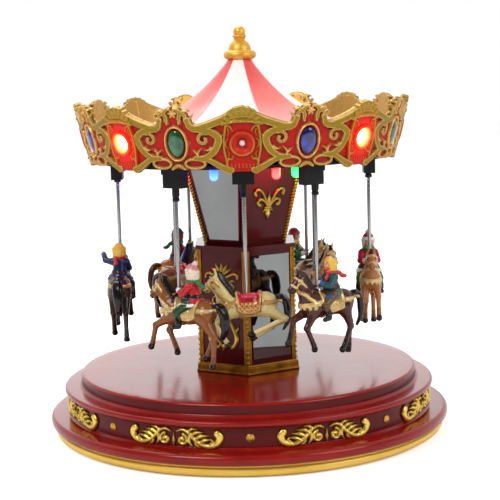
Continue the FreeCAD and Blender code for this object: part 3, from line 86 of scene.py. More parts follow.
def perSize(millimetres):  # texture scale for a feature of that real size
    return 1 / (millimetres * mm)


def rampStops(node, stops):
    ramp = node.color_ramp
    while len(ramp.elements) < len(stops):
        ramp.elements.new(0.5)
    for element, (place, colour) in zip(ramp.elements, stops):
        element.position = place
        element.color = linear(colour) if isinstance(colour, str) else (colour, colour, colour, 1)


# One finish recipe: two tones that drift over a patch size, a roughness band and a fine surface grain.
def finishMaterial(name, tones, rough, patch, grain, bump, stretch=(1, 1, 1), **settings):
    material, tree, shader = newMaterial(name, **settings)
    place = addNode(tree, "ShaderNodeTexCoord")
    mapped = addNode(tree, "ShaderNodeMapping", {"Scale": stretch}, {"Vector": place.outputs["Object"]})
    drift = addNode(tree, "ShaderNodeTexNoise", {"Scale": perSize(patch), "Detail": 5.0, "Roughness": 0.6},
                    {"Vector": mapped.outputs[0]})
    colour = addNode(tree, "ShaderNodeValToRGB", links={"Fac": drift.outputs["Fac"]})
    rampStops(colour, [(0.3, tones[0]), (0.7, tones[1])])
    tree.links.new(colour.outputs[0], shader.inputs["Base Color"])
    gloss = addNode(tree, "ShaderNodeMapRange", {"To Min": rough[0], "To Max": rough[1]},
                    {"Value": drift.outputs["Fac"]})
    tree.links.new(gloss.outputs[0], shader.inputs["Roughness"])
    fine = addNode(tree, "ShaderNodeTexNoise", {"Scale": perSize(grain), "Detail": 2.0},
                   {"Vector": mapped.outputs[0]})
    relief = addNode(tree, "ShaderNodeBump", {"Strength": bump, "Distance": 0.1 * mm},
                     {"Height": fine.outputs["Fac"]})
    tree.links.new(relief.outputs[0], shader.inputs["Normal"])
    return material


# Sprayed nitro lacquer on turned wood: a deep red with a soft sheen and faint spray texture.
lacquer = finishMaterial("lacquer_dark_red", ("#7b0f0c", "#8b1610"), (0.16, 0.28), 22, 0.8, 0.03,
                         Specular_IOR_Level=0.15, Coat_Weight=0.3, Coat_Roughness=0.12)
# Painted shade: the same lacquer in a darker maroon on the upright sides, which face away from the light.
lacquerShaded = finishMaterial("lacquer_painted_shade", ("#500809", "#5c0b0c"), (0.16, 0.28), 22, 0.8, 0.03,
                             Specular_IOR_Level=0.1, Coat_Weight=0.15, Coat_Roughness=0.12)
# Bronze powder paint on cast resin: warm metal flake, brushed thin, darker where it pools.
giltPaint = finishMaterial("gilt_paint", ("#bd8722", "#f0c75c"), (0.24, 0.42), 5, 0.7, 0.10, Metallic=0.9)
# The same paint in a darker brown, on the column's foot and corner strips.
giltBrown = finishMaterial("gilt_paint_brown", ("#7d5110", "#b98126"), (0.28, 0.44), 6, 0.7, 0.12,
                          Metallic=0.85)
# Richer bronze paint in a satin coat on the turned finial.
giltTurned = finishMaterial("gilt_paint_turned", ("#dba238", "#eebd56"), (0.4, 0.5), 30, 0.8, 0.04,
                            Metallic=0.7)
# Paler bronze paint sprayed evenly on the turned foot ring.
giltBand = finishMaterial("gilt_paint_sprayed", ("#e6ba46", "#f2cc62"), (0.34, 0.44), 40, 0.8, 0.04,
                          Metallic=0.55)
# Moulded ABS in gloss maroon, as the column panels.
maroonPanel = finishMaterial("abs_gloss_maroon", ("#430a0d", "#540f11"), (0.12, 0.2), 18, 1.2, 0.03,
                             Specular_IOR_Level=0.15, Coat_Weight=0.1, Coat_Roughness=0.08)
# Moulded ABS in satin black with a light mould grain.
blackAbs = finishMaterial("abs_satin_black", ("#0c0b0c", "#171416"), (0.38, 0.5), 9, 0.5, 0.12,
                          Specular_IOR_Level=0.25)
# Silvered acrylic sheet: clean reflection through a smoke-grey tint, with a trace of ripple.
mirror = finishMaterial("silvered_acrylic", ("#787a7b", "#868786"), (0.01, 0.035), 30, 12, 0.02, Metallic=1.0)
# Drawn steel rod: fine lines along its length.
rodSteel = finishMaterial("drawn_steel", ("#9a9b9d", "#c3c4c5"), (0.2, 0.34), 6, 0.35, 0.08, (1, 1, 0.04),
                          Metallic=1.0)
# Bright zinc plate on the screws, plate and spindle.
zinc = finishMaterial("zinc_plate", ("#a9abae", "#c9cbcd"), (0.28, 0.42), 7, 0.6, 0.08, Metallic=1.0)
# Spring strip: hardened, tempered blue and oiled.
springSteel = finishMaterial("spring_steel", ("#3f454e", "#5a626c"), (0.24, 0.36), 6, 0.5, 0.06, Metallic=1.0)
# Stamped brass of the movement, a little dull.
brass = finishMaterial("stamped_brass", ("#b3924a", "#cdae66"), (0.24, 0.38), 6, 0.5, 0.08, Metallic=1.0)
# Acetal gears: waxy off-white moulding.
acetal = finishMaterial("acetal_white", ("#dedcd2", "#eae8df"), (0.36, 0.46), 8, 0.6, 0.05,
                        Subsurface_Weight=0.08, Subsurface_Radius=(0.002, 0.002, 0.002))
# Printed steel can of the button-top cells.
cellCan = finishMaterial("cell_can", ("#26303a", "#343f4a"), (0.3, 0.42), 10, 0.8, 0.04, Metallic=0.3)


# hand painting held in the mesh: paint, gilt and cavity attributes
def paintedMaterial(name, gloss, coat, metal):
    material, tree, shader = newMaterial(name, Coat_Weight=coat, Coat_Roughness=0.1, Specular_IOR_Level=0.14)
    paint = addNode(tree, "ShaderNodeAttribute", {"attribute_name": "paint"})
    gilt = addNode(tree, "ShaderNodeAttribute", {"attribute_name": "gilt"})
    cavity = addNode(tree, "ShaderNodeAttribute", {"attribute_name": "cavity"})
    place = addNode(tree, "ShaderNodeTexCoord")
    brush = addNode(tree, "ShaderNodeTexNoise", {"Scale": perSize(1.6), "Detail": 4.0, "Roughness": 0.65},
                    {"Vector": place.outputs["Object"]})  # brush marks about 1.6 mm apart
    tone = addNode(tree, "ShaderNodeMapRange", {"To Min": 0.7, "To Max": 1.2},
                   {"Value": brush.outputs["Fac"]})
    washAndShade = addNode(tree, "ShaderNodeMapRange", {"To Min": 1.0, "To Max": 0.18},
                   {"Value": cavity.outputs["Fac"]})  # dark wash left in the hollows, with painted shade there too
    level = addNode(tree, "ShaderNodeMath", {"operation": "MULTIPLY"},
                    {0: tone.outputs[0], 1: washAndShade.outputs[0]})
    shade = addNode(tree, "ShaderNodeVectorMath", {"operation": "SCALE"},
                    {0: paint.outputs["Color"], "Scale": level.outputs[0]})
    tree.links.new(shade.outputs[0], shader.inputs["Base Color"])
    flake = addNode(tree, "ShaderNodeMath", {"operation": "MULTIPLY", 1: metal}, {0: gilt.outputs["Fac"]})
    tree.links.new(flake.outputs[0], shader.inputs["Metallic"])
    rough = addNode(tree, "ShaderNodeMapRange", {"To Min": gloss, "To Max": gloss + 0.16},
                    {"Value": brush.outputs["Fac"]})
    tree.links.new(rough.outputs[0], shader.inputs["Roughness"])
    relief = addNode(tree, "ShaderNodeBump", {"Strength": 0.12, "Distance": 0.12 * mm},
                     {"Height": brush.outputs["Fac"]})
    tree.links.new(relief.outputs[0], shader.inputs["Normal"])
    # light caught in the lit lamp bowls
    glow = addNode(tree, "ShaderNodeAttribute", {"attribute_name": "glow"})
    tree.links.new(paint.outputs["Color"], shader.inputs["Emission Color"])
    tree.links.new(glow.outputs["Fac"], shader.inputs["Emission Strength"])
    return material


# Polyresin casting painted by hand under clear varnish.
resinPaint = paintedMaterial("painted_resin", 0.16, 0.5, 0.5)
# Injection-moulded canopy boards sprayed red, with the raised scrolls picked out in bronze powder.
boardPaint = paintedMaterial("painted_boards", 0.3, 0.04, 0.6)
# Cast appliques brushed all over with bright bronze powder.
castGilt = paintedMaterial("gilt_castings", 0.24, 0.0, 0.9)


def stoneMaterial(name, deep, light):  # clear acrylic cabochon over dark foil: deep colour, wet gloss
    material, tree, shader = newMaterial(name, IOR=1.49, Roughness=0.06, Metallic=0.2, Coat_Weight=1.0,
                                         Coat_Roughness=0.02)
    place = addNode(tree, "ShaderNodeTexCoord")
    cloud = addNode(tree, "ShaderNodeTexNoise", {"Scale": perSize(5), "Detail": 1.0},
                    {"Vector": place.outputs["Object"]})
    tint = addNode(tree, "ShaderNodeValToRGB", links={"Fac": cloud.outputs["Fac"]})
    rampStops(tint, [(0.35, deep), (0.75, light)])  # foil shows brighter in patches about 5 mm wide
    tree.links.new(tint.outputs[0], shader.inputs["Base Color"])
    return material


emerald = stoneMaterial("acrylic_stone_green", "#033a20", "#0a7442")
sapphire = stoneMaterial("acrylic_stone_blue", "#080f4e", "#2436b4")


def lensMaterial(name, body, glow, strength):  # epoxy lamp body, brightest at its tip by the hot attribute
    material, tree, shader = newMaterial(name, IOR=1.53, Roughness=0.08, Coat_Weight=0.5, Coat_Roughness=0.03)
    hot = addNode(tree, "ShaderNodeAttribute", {"attribute_name": "hot"})
    tint = addNode(tree, "ShaderNodeValToRGB", links={"Fac": hot.outputs["Fac"]})
    rampStops(tint, [(0.0, body), (1.0, glow)])
    tree.links.new(tint.outputs[0], shader.inputs["Base Color"])
    if strength > 0:
        tree.links.new(tint.outputs[0], shader.inputs["Emission Color"])
        power = addNode(tree, "ShaderNodeMapRange", {"To Min": 0.15 * strength, "To Max": strength},
                        {"Value": hot.outputs["Fac"]})
        tree.links.new(power.outputs[0], shader.inputs["Emission Strength"])
    return material


lensLit = lensMaterial("lamp_lit_white", "#ffdcb4", "#fff2dc", 7.0)
lensDark = lensMaterial("lamp_unlit_clear", "#8d6a60", "#cfc4bc", 0.0)
lensRed = lensMaterial("lamp_lit_red", "#c8080a", "#ff0d0c", 105.0)
lensBlue = lensMaterial("lamp_lit_blue", "#0410c8", "#0a1aff", 115.0)
lensGreen = lensMaterial("lamp_lit_green", "#049024", "#0ae022", 54.0)


# The front white stripe stands a little to the left.
tentPaint = {"turn": math.radians(9), "pairs": 4, "rim": 0.184, "top": 0.229, "soft": 0.1, "white": "#ece6e1",
             "fade": ((0.0, "#f0b8b2"), (0.22, "#ec958f"), (0.5, "#e66e68"), (0.85, "#dc4a45"))}


def tentMaterial(s):  # sprayed vacuum-formed sheet: red and white stripes, the red fading towards the rim
    material, tree, shader = newMaterial("sprayed_tent_stripes", Roughness=0.29, Coat_Weight=0.3,
                                         Coat_Roughness=0.15)
    place = addNode(tree, "ShaderNodeTexCoord")
    part = addNode(tree, "ShaderNodeSeparateXYZ", links={0: place.outputs["Object"]})
    angle = addNode(tree, "ShaderNodeMath", {"operation": "ARCTAN2"},
                    {0: part.outputs[0], 1: part.outputs[1]})
    turned = addNode(tree, "ShaderNodeMath",
                     {"operation": "MULTIPLY_ADD", 1: s["pairs"], 2: -s["pairs"] * s["turn"]},
                     {0: angle.outputs[0]})
    wave = addNode(tree, "ShaderNodeMath", {"operation": "COSINE"}, {0: turned.outputs[0]})
    edge = addNode(tree, "ShaderNodeMapRange",
                   {"From Min": -s["soft"], "From Max": s["soft"], "To Min": 1.0, "To Max": 0.0},
                   {"Value": wave.outputs[0]})
    height = addNode(tree, "ShaderNodeMapRange", {"From Min": s["rim"], "From Max": s["top"]},
                     {"Value": part.outputs[2]})
    fade = addNode(tree, "ShaderNodeValToRGB", links={"Fac": height.outputs[0]})
    rampStops(fade, s["fade"])
    stripes = addNode(tree, "ShaderNodeMix", {"data_type": "RGBA", 6: linear(s["white"])},
                      {0: edge.outputs[0], 7: fade.outputs[0]})
    tree.links.new(stripes.outputs[2], shader.inputs["Base Color"])
    peel = addNode(tree, "ShaderNodeTexNoise", {"Scale": perSize(1.1), "Detail": 2.0},
                   {"Vector": place.outputs["Object"]})
    relief = addNode(tree, "ShaderNodeBump", {"Strength": 0.02, "Distance": 0.1 * mm},
                     {"Height": peel.outputs["Fac"]})
    tree.links.new(relief.outputs[0], shader.inputs["Normal"])
    return material


tentStripes = tentMaterial(tentPaint)
print("materials made:", len(bpy.data.materials))


def settle(name, mesh, body, nodes):  # a mesh as a piece that rides on its body
    piece = bpy.data.objects.new(name, mesh)
    bpy.context.scene.collection.objects.link(piece)
    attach(piece, body)
    if nodes:
        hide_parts(*nodes)
    return piece


def makePiece(name, points, faces, material, body, nodes=(), smooth=True, attributes=None):
    mesh = bpy.data.meshes.new(name)
    mesh.from_pydata([tuple(p) for p in np.asarray(points) * mm], [], faces)
    mesh.validate()
    for key, values in (attributes or {}).items():
        values = np.asarray(values, np.float32)
        if values.ndim == 2:
            layer = mesh.color_attributes.new(key, "FLOAT_COLOR", "POINT")
            layer.data.foreach_set("color", np.c_[values[:, :3], np.ones(len(values))].ravel())
        else:
            layer = mesh.attributes.new(key, "FLOAT", "POINT")
            layer.data.foreach_set("value", values)
    if smooth:
        mesh.polygons.foreach_set("use_smooth", [True] * len(mesh.polygons))
    materials = material if isinstance(material, (list, tuple)) else [material]
    for item in materials:
        mesh.materials.append(item)
    mesh.update()
    return settle(name, mesh, body, nodes)


def sharpEdges(piece, degrees):  # keep crisp arrises on a smooth-shaded piece
    piece.data.set_sharp_from_angle(angle=math.radians(degrees))
    return piece


def roundedPath(corners, closed=False, steps=6):  # corners (r, z, fillet) to a smooth section line
    path = []
    count = len(corners)
    for index, (r, z, fillet) in enumerate(corners):
        here = np.array((r, z), float)
        ends = not closed and index in (0, count - 1)
        if fillet <= 0 or ends:
            path.append(here)
            continue
        before = np.array(corners[index - 1][:2], float) - here
        after = np.array(corners[(index + 1) % count][:2], float) - here
        before /= np.linalg.norm(before)
        after /= np.linalg.norm(after)
        half = math.acos(np.clip(before @ after, -1, 1)) / 2
        reach = fillet / math.tan(half)
        middle = here + (before + after) / np.linalg.norm(before + after) * fillet / math.sin(half)
        start = here + before * reach - middle
        end = here + after * reach - middle
        for share in np.linspace(0, 1, steps + 1):
            way = start * (1 - share) + end * share
            path.append(middle + way / np.linalg.norm(way) * fillet)
    return np.array(path)


def ringFaces(rows, steps, closed=False):  # quads from ring to ring
    faces = []
    for row in range(rows if closed else rows - 1):
        low = row * steps
        high = ((row + 1) % rows) * steps
        for step in range(steps):
            after = (step + 1) % steps
            faces.append((low + step, low + after, high + after, high + step))
    return faces


def lathe(path, steps, closed=False, turn=0.0, sides=None):  # turn a section line about Z
    path = np.asarray(path, float)
    angles = np.arange(steps) * 2 * math.pi / steps + turn
    reach = np.ones(steps)
    if sides:  # a many-sided turning, for mitred mouldings
        wedge = 2 * math.pi / sides
        reach = 1 / np.cos((angles - turn + wedge / 2) % wedge - wedge / 2)
    points = []
    for r, z in path:
        points.append(np.c_[r * reach * np.sin(angles), -r * reach * np.cos(angles), np.full(steps, z)])
    return np.concatenate(points), ringFaces(len(path), steps, closed)


def levelSet(field, low, voxel, adaptivity=0.0):  # skin of a distance field
    grid = openvdb.FloatGrid(3 * voxel)
    grid.copyFromArray(np.ascontiguousarray(field, dtype=np.float32))
    points, triangles, quads = grid.convertToPolygons(isovalue=0.0, adaptivity=adaptivity)
    points = np.asarray(points, float) * voxel + np.asarray(low, float)
    faces = [tuple(f) for part in (triangles, quads) for f in np.asarray(part).tolist()]
    return points, faces


def outwardFaces(points, faces):  # flip the skin if it came out inside out
    volume = 0.0
    for face in faces[::7]:
        a, b, c = points[face[0]], points[face[1]], points[face[2]]
        volume += np.dot(a - points[0], np.cross(b - points[0], c - points[0]))
    return faces if volume > 0 else [tuple(reversed(f)) for f in faces]


def blurred(values, width):  # box blur both ways, for the cavity wash
    for axis in range(values.ndim):
        padded = np.concatenate([np.repeat(np.take(values, [0], axis), width, axis), values,
                                 np.repeat(np.take(values, [-1], axis), width, axis)], axis)
        total = np.cumsum(padded, axis=axis)
        count = values.shape[axis]
        upper = np.take(total, np.arange(2 * width, 2 * width + count), axis)
        lower = np.concatenate([np.zeros_like(np.take(total, [0], axis)),
                                np.take(total, np.arange(0, count - 1), axis)], axis)
        values = (upper - lower) / (2 * width + 1)
    return values


def bearingFrame(bearing):  # columns: outward, along the rim, up
    angle = math.radians(bearing)
    return np.array(((math.sin(angle), math.cos(angle), 0), (-math.cos(angle), math.sin(angle), 0),
                     (0, 0, 1.0)))


# Camera solved from the base's ellipses, the poles and the column.
cameraSetup = {"lens": 105.7, "sensor": 36.0, "place": (0.0, -0.91325, 0.23996), "pitch": 8.0, "pan": 0.19,
               "roll": 1.54}


def makeCamera(s):
    lens = bpy.data.cameras.new("camera")
    lens.lens = s["lens"]
    lens.sensor_width = s["sensor"]
    lens.clip_start = 0.05
    camera = bpy.data.objects.new("camera", lens)
    bpy.context.scene.collection.objects.link(camera)
    turn = Matrix.Rotation(math.radians(-s["pan"]), 4, "Z")
    turn = turn @ Matrix.Rotation(math.radians(90 - s["pitch"]), 4, "X")
    roll = Matrix.Rotation(math.radians(-s["roll"]), 4, "Z")
    camera.matrix_world = Matrix.Translation(s["place"]) @ turn @ roll
    bpy.context.scene.camera = camera


stageSetup = {"floor": 6.0, "floorColour": "#f4f4f4", "lift": 0.45, "world": 0.58, "room": 0.12,
              "lamps": (("key", (-0.7, -0.9, 1.15), 0.75, 11.0), ("fill", (0.95, -0.7, 0.75), 0.8, 6.0),
                        ("back", (-0.2, 0.7, 1.4), 0.9, 9.5),
                        ("sweep", (-0.15, 1.5, 0.5), 1.1, 2.0))}


def makeStage(s):
    scene = bpy.context.scene
    scene.view_settings.view_transform = "Standard"
    mesh = bpy.data.meshes.new("floor")
    half = s["floor"] / 2
    mesh.from_pydata([(-half, -half, 0), (half, -half, 0), (half, half, 0), (-half, half, 0)], [],
                     [(0, 1, 2, 3)])
    material, tree, shader = newMaterial("floor_paper", Roughness=0.9)
    shader.inputs["Base Color"].default_value = linear(s["floorColour"])
    shader.inputs["Emission Color"].default_value = (1, 1, 1, 1)
    path = addNode(tree, "ShaderNodeLightPath")
    lift = addNode(tree, "ShaderNodeMath", {"operation": "MULTIPLY", 1: s["lift"]},
                   {0: path.outputs["Is Camera Ray"]})  # paper reads white to the camera and keeps the shadow
    tree.links.new(lift.outputs[0], shader.inputs["Emission Strength"])
    mesh.materials.append(material)
    floor = bpy.data.objects.new("floor", mesh)
    scene.collection.objects.link(floor)
    floor.location.z = -0.0002  # just clear of the foot
    world = bpy.data.worlds.new("studio")
    scene.world = world
    world.use_nodes = True
    tree = world.node_tree
    back = tree.nodes["Background"]
    back.inputs["Color"].default_value = (1, 1, 1, 1)
    path = addNode(tree, "ShaderNodeLightPath")
    seen = addNode(tree, "ShaderNodeMath", {"operation": "MAXIMUM"},
                   {0: path.outputs["Is Camera Ray"], 1: path.outputs["Is Transmission Ray"]})
    glossy = addNode(tree, "ShaderNodeMath", {"operation": "MAXIMUM"},
                     {0: seen.outputs[0], 1: path.outputs["Is Glossy Ray"]})
    place = addNode(tree, "ShaderNodeTexCoord")
    toward = addNode(tree, "ShaderNodeSeparateXYZ", links={0: place.outputs["Generated"]})
    # white sweep behind the object, dim room in front of it
    room = addNode(tree, "ShaderNodeMapRange",
                   {"From Min": -0.25, "From Max": 0.35, "To Min": s["room"], "To Max": 1.0},
                   {"Value": toward.outputs["Y"]})
    shown = addNode(tree, "ShaderNodeMath", {"operation": "MAXIMUM"},
                    {0: room.outputs[0], 1: path.outputs["Is Camera Ray"]})
    power = addNode(tree, "ShaderNodeMix", {"A": s["world"]},
                    {"Factor": glossy.outputs[0], "B": shown.outputs[0]})
    tree.links.new(power.outputs[0], back.inputs["Strength"])
    for name, place, width, watts in s["lamps"]:
        light = bpy.data.lights.new(name, "AREA")
        light.shape = "DISK"
        light.size = width
        light.energy = watts
        lamp = bpy.data.objects.new(name, light)
        scene.collection.objects.link(lamp)
        lamp.location = place
        aim = Vector((0, 0, 0.1)) - Vector(place)
        lamp.rotation_euler = aim.to_track_quat("-Z", "Y").to_euler()


makeCamera(cameraSetup)
makeStage(stageSetup)
print("camera and stage set")

# Turned base: every arris is eased as on sprayed woodwork.
baseSetup = {"steps": 256, "deck": (105.4, 38.9), "lip": (115.8, 31.0, 27.5), "band": 112.5,
             "flange": (125.0, 14.0, 7.5), "hollow": (102.0, 35.4), "hole": 8.3, "ease": 0.6, "ringStep": 6,
             "foot": ((106.0, 0, 0.4), (118.0, 0, 0.8), (121.4, 2.0, 1.2), (122.0, 3.2, 1.0),
                      (122.0, 5.2, 1.0), (120.6, 6.2, 0.5), (120.9, 6.8, 0.3), (120.6, 7.5, 0.3),
                      (106.0, 7.5, 0.2))}


def makeBase(s):
    deckR, deckZ = s["deck"]
    lipR, lipTop, lipLow = s["lip"]
    flangeR, flangeTop, flangeLow = s["flange"]
    hollowR, hollowZ = s["hollow"]
    section = [(s["hole"], deckZ, 0), (s["hole"], hollowZ, 0), (hollowR, hollowZ, 0), (hollowR, flangeLow, 0),
               (flangeR, flangeLow, 2.6), (flangeR, flangeTop, 2.6), (s["band"] + 1.6, flangeTop, s["ease"]),
               (s["band"], flangeTop + 1.2, s["ease"]), (s["band"], lipLow - 1.0, s["ease"]),
               (s["band"] + 1.2, lipLow, s["ease"]), (lipR, lipLow, 1.3), (lipR, lipTop, 1.4),
               (deckR + 1.2, lipTop, s["ease"]), (deckR, lipTop + 1.4, s["ease"]), (deckR, deckZ, 1.8)]
    path = roundedPath(section, closed=True)
    dense = []  # long flats get rings of their own so that shading stays even
    for start, end in zip(path, np.roll(path, -1, axis=0)):
        parts = max(1, int(np.linalg.norm(end - start) / s["ringStep"]))
        dense.extend(start + (end - start) * share for share in np.arange(parts) / parts)
    points, faces = lathe(np.array(dense), s["steps"], closed=True)
    base = makePiece("base_lacquered", points, faces, [lacquer, lacquerShaded], "base", ["base_shell"])
    for face in base.data.polygons:  # painted shade: the upright sides of the band and the deck take the darker lacquer
        out, level = math.hypot(*face.center[:2]) / mm, face.center[2] / mm
        onBand = abs(out - s["band"]) < 0.2 and level > flangeTop
        onDeck = abs(out - deckR) < 0.2 and level > lipTop
        face.material_index = int((onBand or onDeck) and abs(face.normal[2]) < 0.3)
    sharpEdges(base, 40)
    points, faces = lathe(roundedPath(s["foot"], closed=True, steps=4), s["steps"], closed=True)
    sharpEdges(makePiece("foot_gilt_ring", points, faces, giltBand, "base", ["foot_ring"]), 50)


makeBase(baseSetup)
print("base turned")


def newTree(name, source, sizes, result):  # geometry tree with a source, its sizes and a finish
    tree = bpy.data.node_groups.new(name, "GeometryNodeTree")
    sockets = [(source, "INPUT", "Geometry")] + [(size, "INPUT", "Float") for size in sizes]
    sockets += [("Finish", "INPUT", "Material"), (result, "OUTPUT", "Geometry")]
    for title, way, kind in sockets:
        tree.interface.new_socket(title, in_out=way, socket_type="NodeSocket" + kind)
    return tree, addNode(tree, "NodeGroupInput")


def closeTree(tree, given, copies):  # copies made real and coated
    real = addNode(tree, "GeometryNodeRealizeInstances", links={0: copies.outputs[0]})
    coated = addNode(tree, "GeometryNodeSetMaterial",
                     links={"Geometry": real.outputs[0], "Material": given.outputs["Finish"]})
    addNode(tree, "NodeGroupOutput", links={0: coated.outputs[0]})
    return tree


def beadTree():  # beads strung along the edges of a line mesh
    tree, given = newTree("bead_row", "Line", ("Radius", "Spacing"), "Beads")
    line = addNode(tree, "GeometryNodeMeshToCurve", links={"Mesh": given.outputs["Line"]})
    spots = addNode(tree, "GeometryNodeResampleCurve", {"mode": "LENGTH"},
                    {"Curve": line.outputs[0], "Length": given.outputs["Spacing"]})
    bead = addNode(tree, "GeometryNodeMeshUVSphere", {"Segments": 10, "Rings": 6},
                   {"Radius": given.outputs["Radius"]})
    soft = addNode(tree, "GeometryNodeSetShadeSmooth", links={"Geometry": bead.outputs[0]})
    strung = addNode(tree, "GeometryNodeInstanceOnPoints",
                     links={"Points": spots.outputs[0], "Instance": soft.outputs[0]})
    return closeTree(tree, given, strung)


# Run a tree on a mesh and keep the result.
def treePiece(name, tree, source, inputs, body, nodes=()):
    holder = bpy.data.objects.new(name + "_source", source)
    bpy.context.scene.collection.objects.link(holder)
    modifier = holder.modifiers.new("tree", "NODES")
    modifier.node_group = tree
    for item in tree.interface.items_tree:
        if item.in_out == "INPUT" and item.name in inputs:
            modifier[item.identifier] = inputs[item.name]
    bpy.context.view_layer.update()
    graph = bpy.context.evaluated_depsgraph_get()
    mesh = bpy.data.meshes.new_from_object(holder.evaluated_get(graph))
    mesh.name = name
    holder.modifiers.remove(modifier)
    bpy.data.objects.remove(holder)
    return settle(name, mesh, body, nodes)


def lineMesh(name, lines):  # several polylines in one edge mesh
    points = []
    edges = []
    for line in lines:
        first = len(points)
        points.extend(tuple(np.asarray(p) * mm) for p in line)
        edges.extend((first + i, first + i + 1) for i in range(len(line) - 1))
    mesh = bpy.data.meshes.new(name)
    mesh.from_pydata(points, edges, [])
    return mesh


def onBearing(radius, bearing, level):
    angle = math.radians(bearing)
    return np.array((radius * math.sin(angle), -radius * math.cos(angle), level))


hexFlat = math.cos(math.radians(30))
columnSetup = {"footZ": 39.2, "lowZ": 45.0, "shaftTop": 115.5, "ledgeZ": 118.0, "topZ": 170.0, "footR": 36.8,
               "lowR": 33.6, "waistR": 27.4, "flareR": 40.6, "ropeR": 1.5, "ropePitch": 2.0,
               "ropeTones": ("#3d1b0a", "#d8a637"), "beadR": 0.95, "beadStep": 3.1, "stripWide": 2.7,
               "stripThick": 0.8, "bezelR": 0.62, "bezelSide": 3.1, "bezelEnd": 3.0, "bezelOut": 0.75,
               "bezelPitch": 400}


def ropeSkin(start, end, radius, pitch, strands, around, step):  # twisted rod between two points
    start, end = np.asarray(start, float), np.asarray(end, float)
    run = end - start
    length = np.linalg.norm(run)
    along = run / length
    side = np.cross(along, (0.31, 0.77, 0.2))
    side /= np.linalg.norm(side)
    other = np.cross(along, side)
    rings = int(length / step) + 1
    turn = np.arange(around) * 2 * math.pi / around
    points = []
    for far in np.linspace(0, length, rings):
        lobe = np.abs(np.cos(strands * turn / 2 - math.pi * far / pitch)) ** 0.6
        r = radius * (0.52 + 0.48 * lobe)
        points.append(start + along * far + np.outer(r * np.cos(turn), side)
                      + np.outer(r * np.sin(turn), other))
    faces = ringFaces(rings, around)
    faces.append(tuple(reversed(range(around))))
    faces.append(tuple((rings - 1) * around + j for j in range(around)))
    return np.concatenate(points), faces


def joined(parts):  # several skins as one
    points = []
    faces = []
    first = 0
    for skin, rows in parts:
        points.append(skin)
        faces.extend(tuple(i + first for i in row) for row in rows)
        first += len(skin)
    return np.concatenate(points), faces


def makeColumn(s):
    footFlat = s["footR"] * hexFlat
    foot = [(20, s["footZ"], 0), (footFlat, s["footZ"], 0.3), (footFlat, s["footZ"] + 0.9, 0.3),
            (31.3, s["footZ"] + 1.3, 0.3), (31.3, s["lowZ"] - 1.4, 0.5), (30.4, s["lowZ"] - 0.9, 0.3),
            (30.2, s["lowZ"] - 0.1, 0.3), (20, s["lowZ"] - 0.1, 0)]
    points, faces = lathe(roundedPath(foot, steps=4), 96, turn=math.radians(30), sides=6)
    moulding = makePiece("column_foot_moulding", points, faces, giltBrown, "carousel", ["column_foot"])
    sharpEdges(moulding, 35)
    apex = s["lowR"] + s["stripThick"]
    # along a face of the hexagon, away from its corner
    slant = np.array((-0.5, math.sqrt(0.75))) * s["stripWide"]
    lip = np.array((math.sqrt(0.75), 0.5)) * s["stripThick"]
    section = [(apex, 0), (apex + slant[0], slant[1]), (apex + slant[0] - lip[0], slant[1] - lip[1]),
               (apex - 2 * s["stripThick"], 0), (apex + slant[0] - lip[0], lip[1] - slant[1]),
               (apex + slant[0], -slant[1])]
    lowLines = []
    ropes = []
    proud = []  # how far each point of a rope stands out of its grooves
    strips = []
    for corner in range(6):
        bearing = 60 * corner
        turn = bearingFrame(bearing)
        lowLines.append([onBearing(apex, bearing, s["lowZ"] + 1.6),
                         onBearing(apex, bearing, s["shaftTop"] - 1.6)])
        ends = [np.array([turn @ np.array((u, w, z)) for u, w in section])
                for z in (s["lowZ"], s["shaftTop"])]
        rows = [(j, (j + 1) % 6, 6 + (j + 1) % 6, 6 + j) for j in range(6)]
        strips.append((np.concatenate(ends), rows + [(5, 4, 3, 2, 1, 0), (6, 7, 8, 9, 10, 11)]))
        waist = onBearing(s["waistR"] + 0.2, bearing, s["ledgeZ"] + 0.8)
        flare = onBearing(s["flareR"] - 0.2, bearing, s["topZ"] - 1.6)
        skin, rows = ropeSkin(waist, flare, s["ropeR"], s["ropePitch"], 2, 16, 0.36)
        along = (flare - waist) / np.linalg.norm(flare - waist)
        ropes.append((skin, rows))
        proud.append(np.linalg.norm(np.cross(skin - waist, along), axis=1) / s["ropeR"])
    name = "column_bead_corners"
    inputs = {"Radius": s["beadR"] * mm, "Spacing": s["beadStep"] * mm, "Finish": giltPaint}
    treePiece(name, beadTree(), lineMesh(name, lowLines), inputs, "carousel", ["column_frame"])
    points, faces = joined(strips)
    makePiece("column_corner_strips", points, faces, giltBrown, "carousel", smooth=False)
    points, faces = joined(ropes)
    # painted highlight on the rope's ridges and painted shade in its grooves, by how far each point stands
    # out
    proud = np.clip((np.concatenate(proud) - 0.6) / 0.35, 0, 1)
    paint = twoTone(*s["ropeTones"], proud)
    makePiece("column_rope_edges", points, faces, castGilt, "carousel",
              attributes={"paint": paint, "gilt": np.ones(len(points)), "cavity": 1 - proud})
    frames = []  # slim moulded bezels round the three upper mirrors
    low, high = np.array((s["waistR"] * hexFlat, s["ledgeZ"])), np.array((s["flareR"] * hexFlat, s["topZ"]))
    halves = (s["waistR"] / 2 - s["bezelSide"], s["flareR"] / 2 - s["bezelSide"])
    height = np.linalg.norm(high - low)
    run = (high - low) / height
    out = np.array((run[1], -run[0]))
    for index in range(3):
        turn = bearingFrame(-30 + 120 * index)
        corners = []
        for side, up in ((-1, 0), (1, 0), (1, 1), (-1, 1)):
            far = height - s["bezelEnd"] if up else s["bezelEnd"]
            spot = low + run * far + out * s["bezelOut"]
            corners.append(turn @ np.array((spot[0], side * halves[up], spot[1])))
        for a, b in zip(corners, corners[1:] + corners[:1]):
            frames.append(ropeSkin(a, b, s["bezelR"], s["bezelPitch"], 3, 10, 4))  # too long a twist to see
    points, faces = joined(frames)
    makePiece("mirror_bezels", points, faces, maroonPanel, "carousel")


makeColumn(columnSetup)
print("column trimmed")
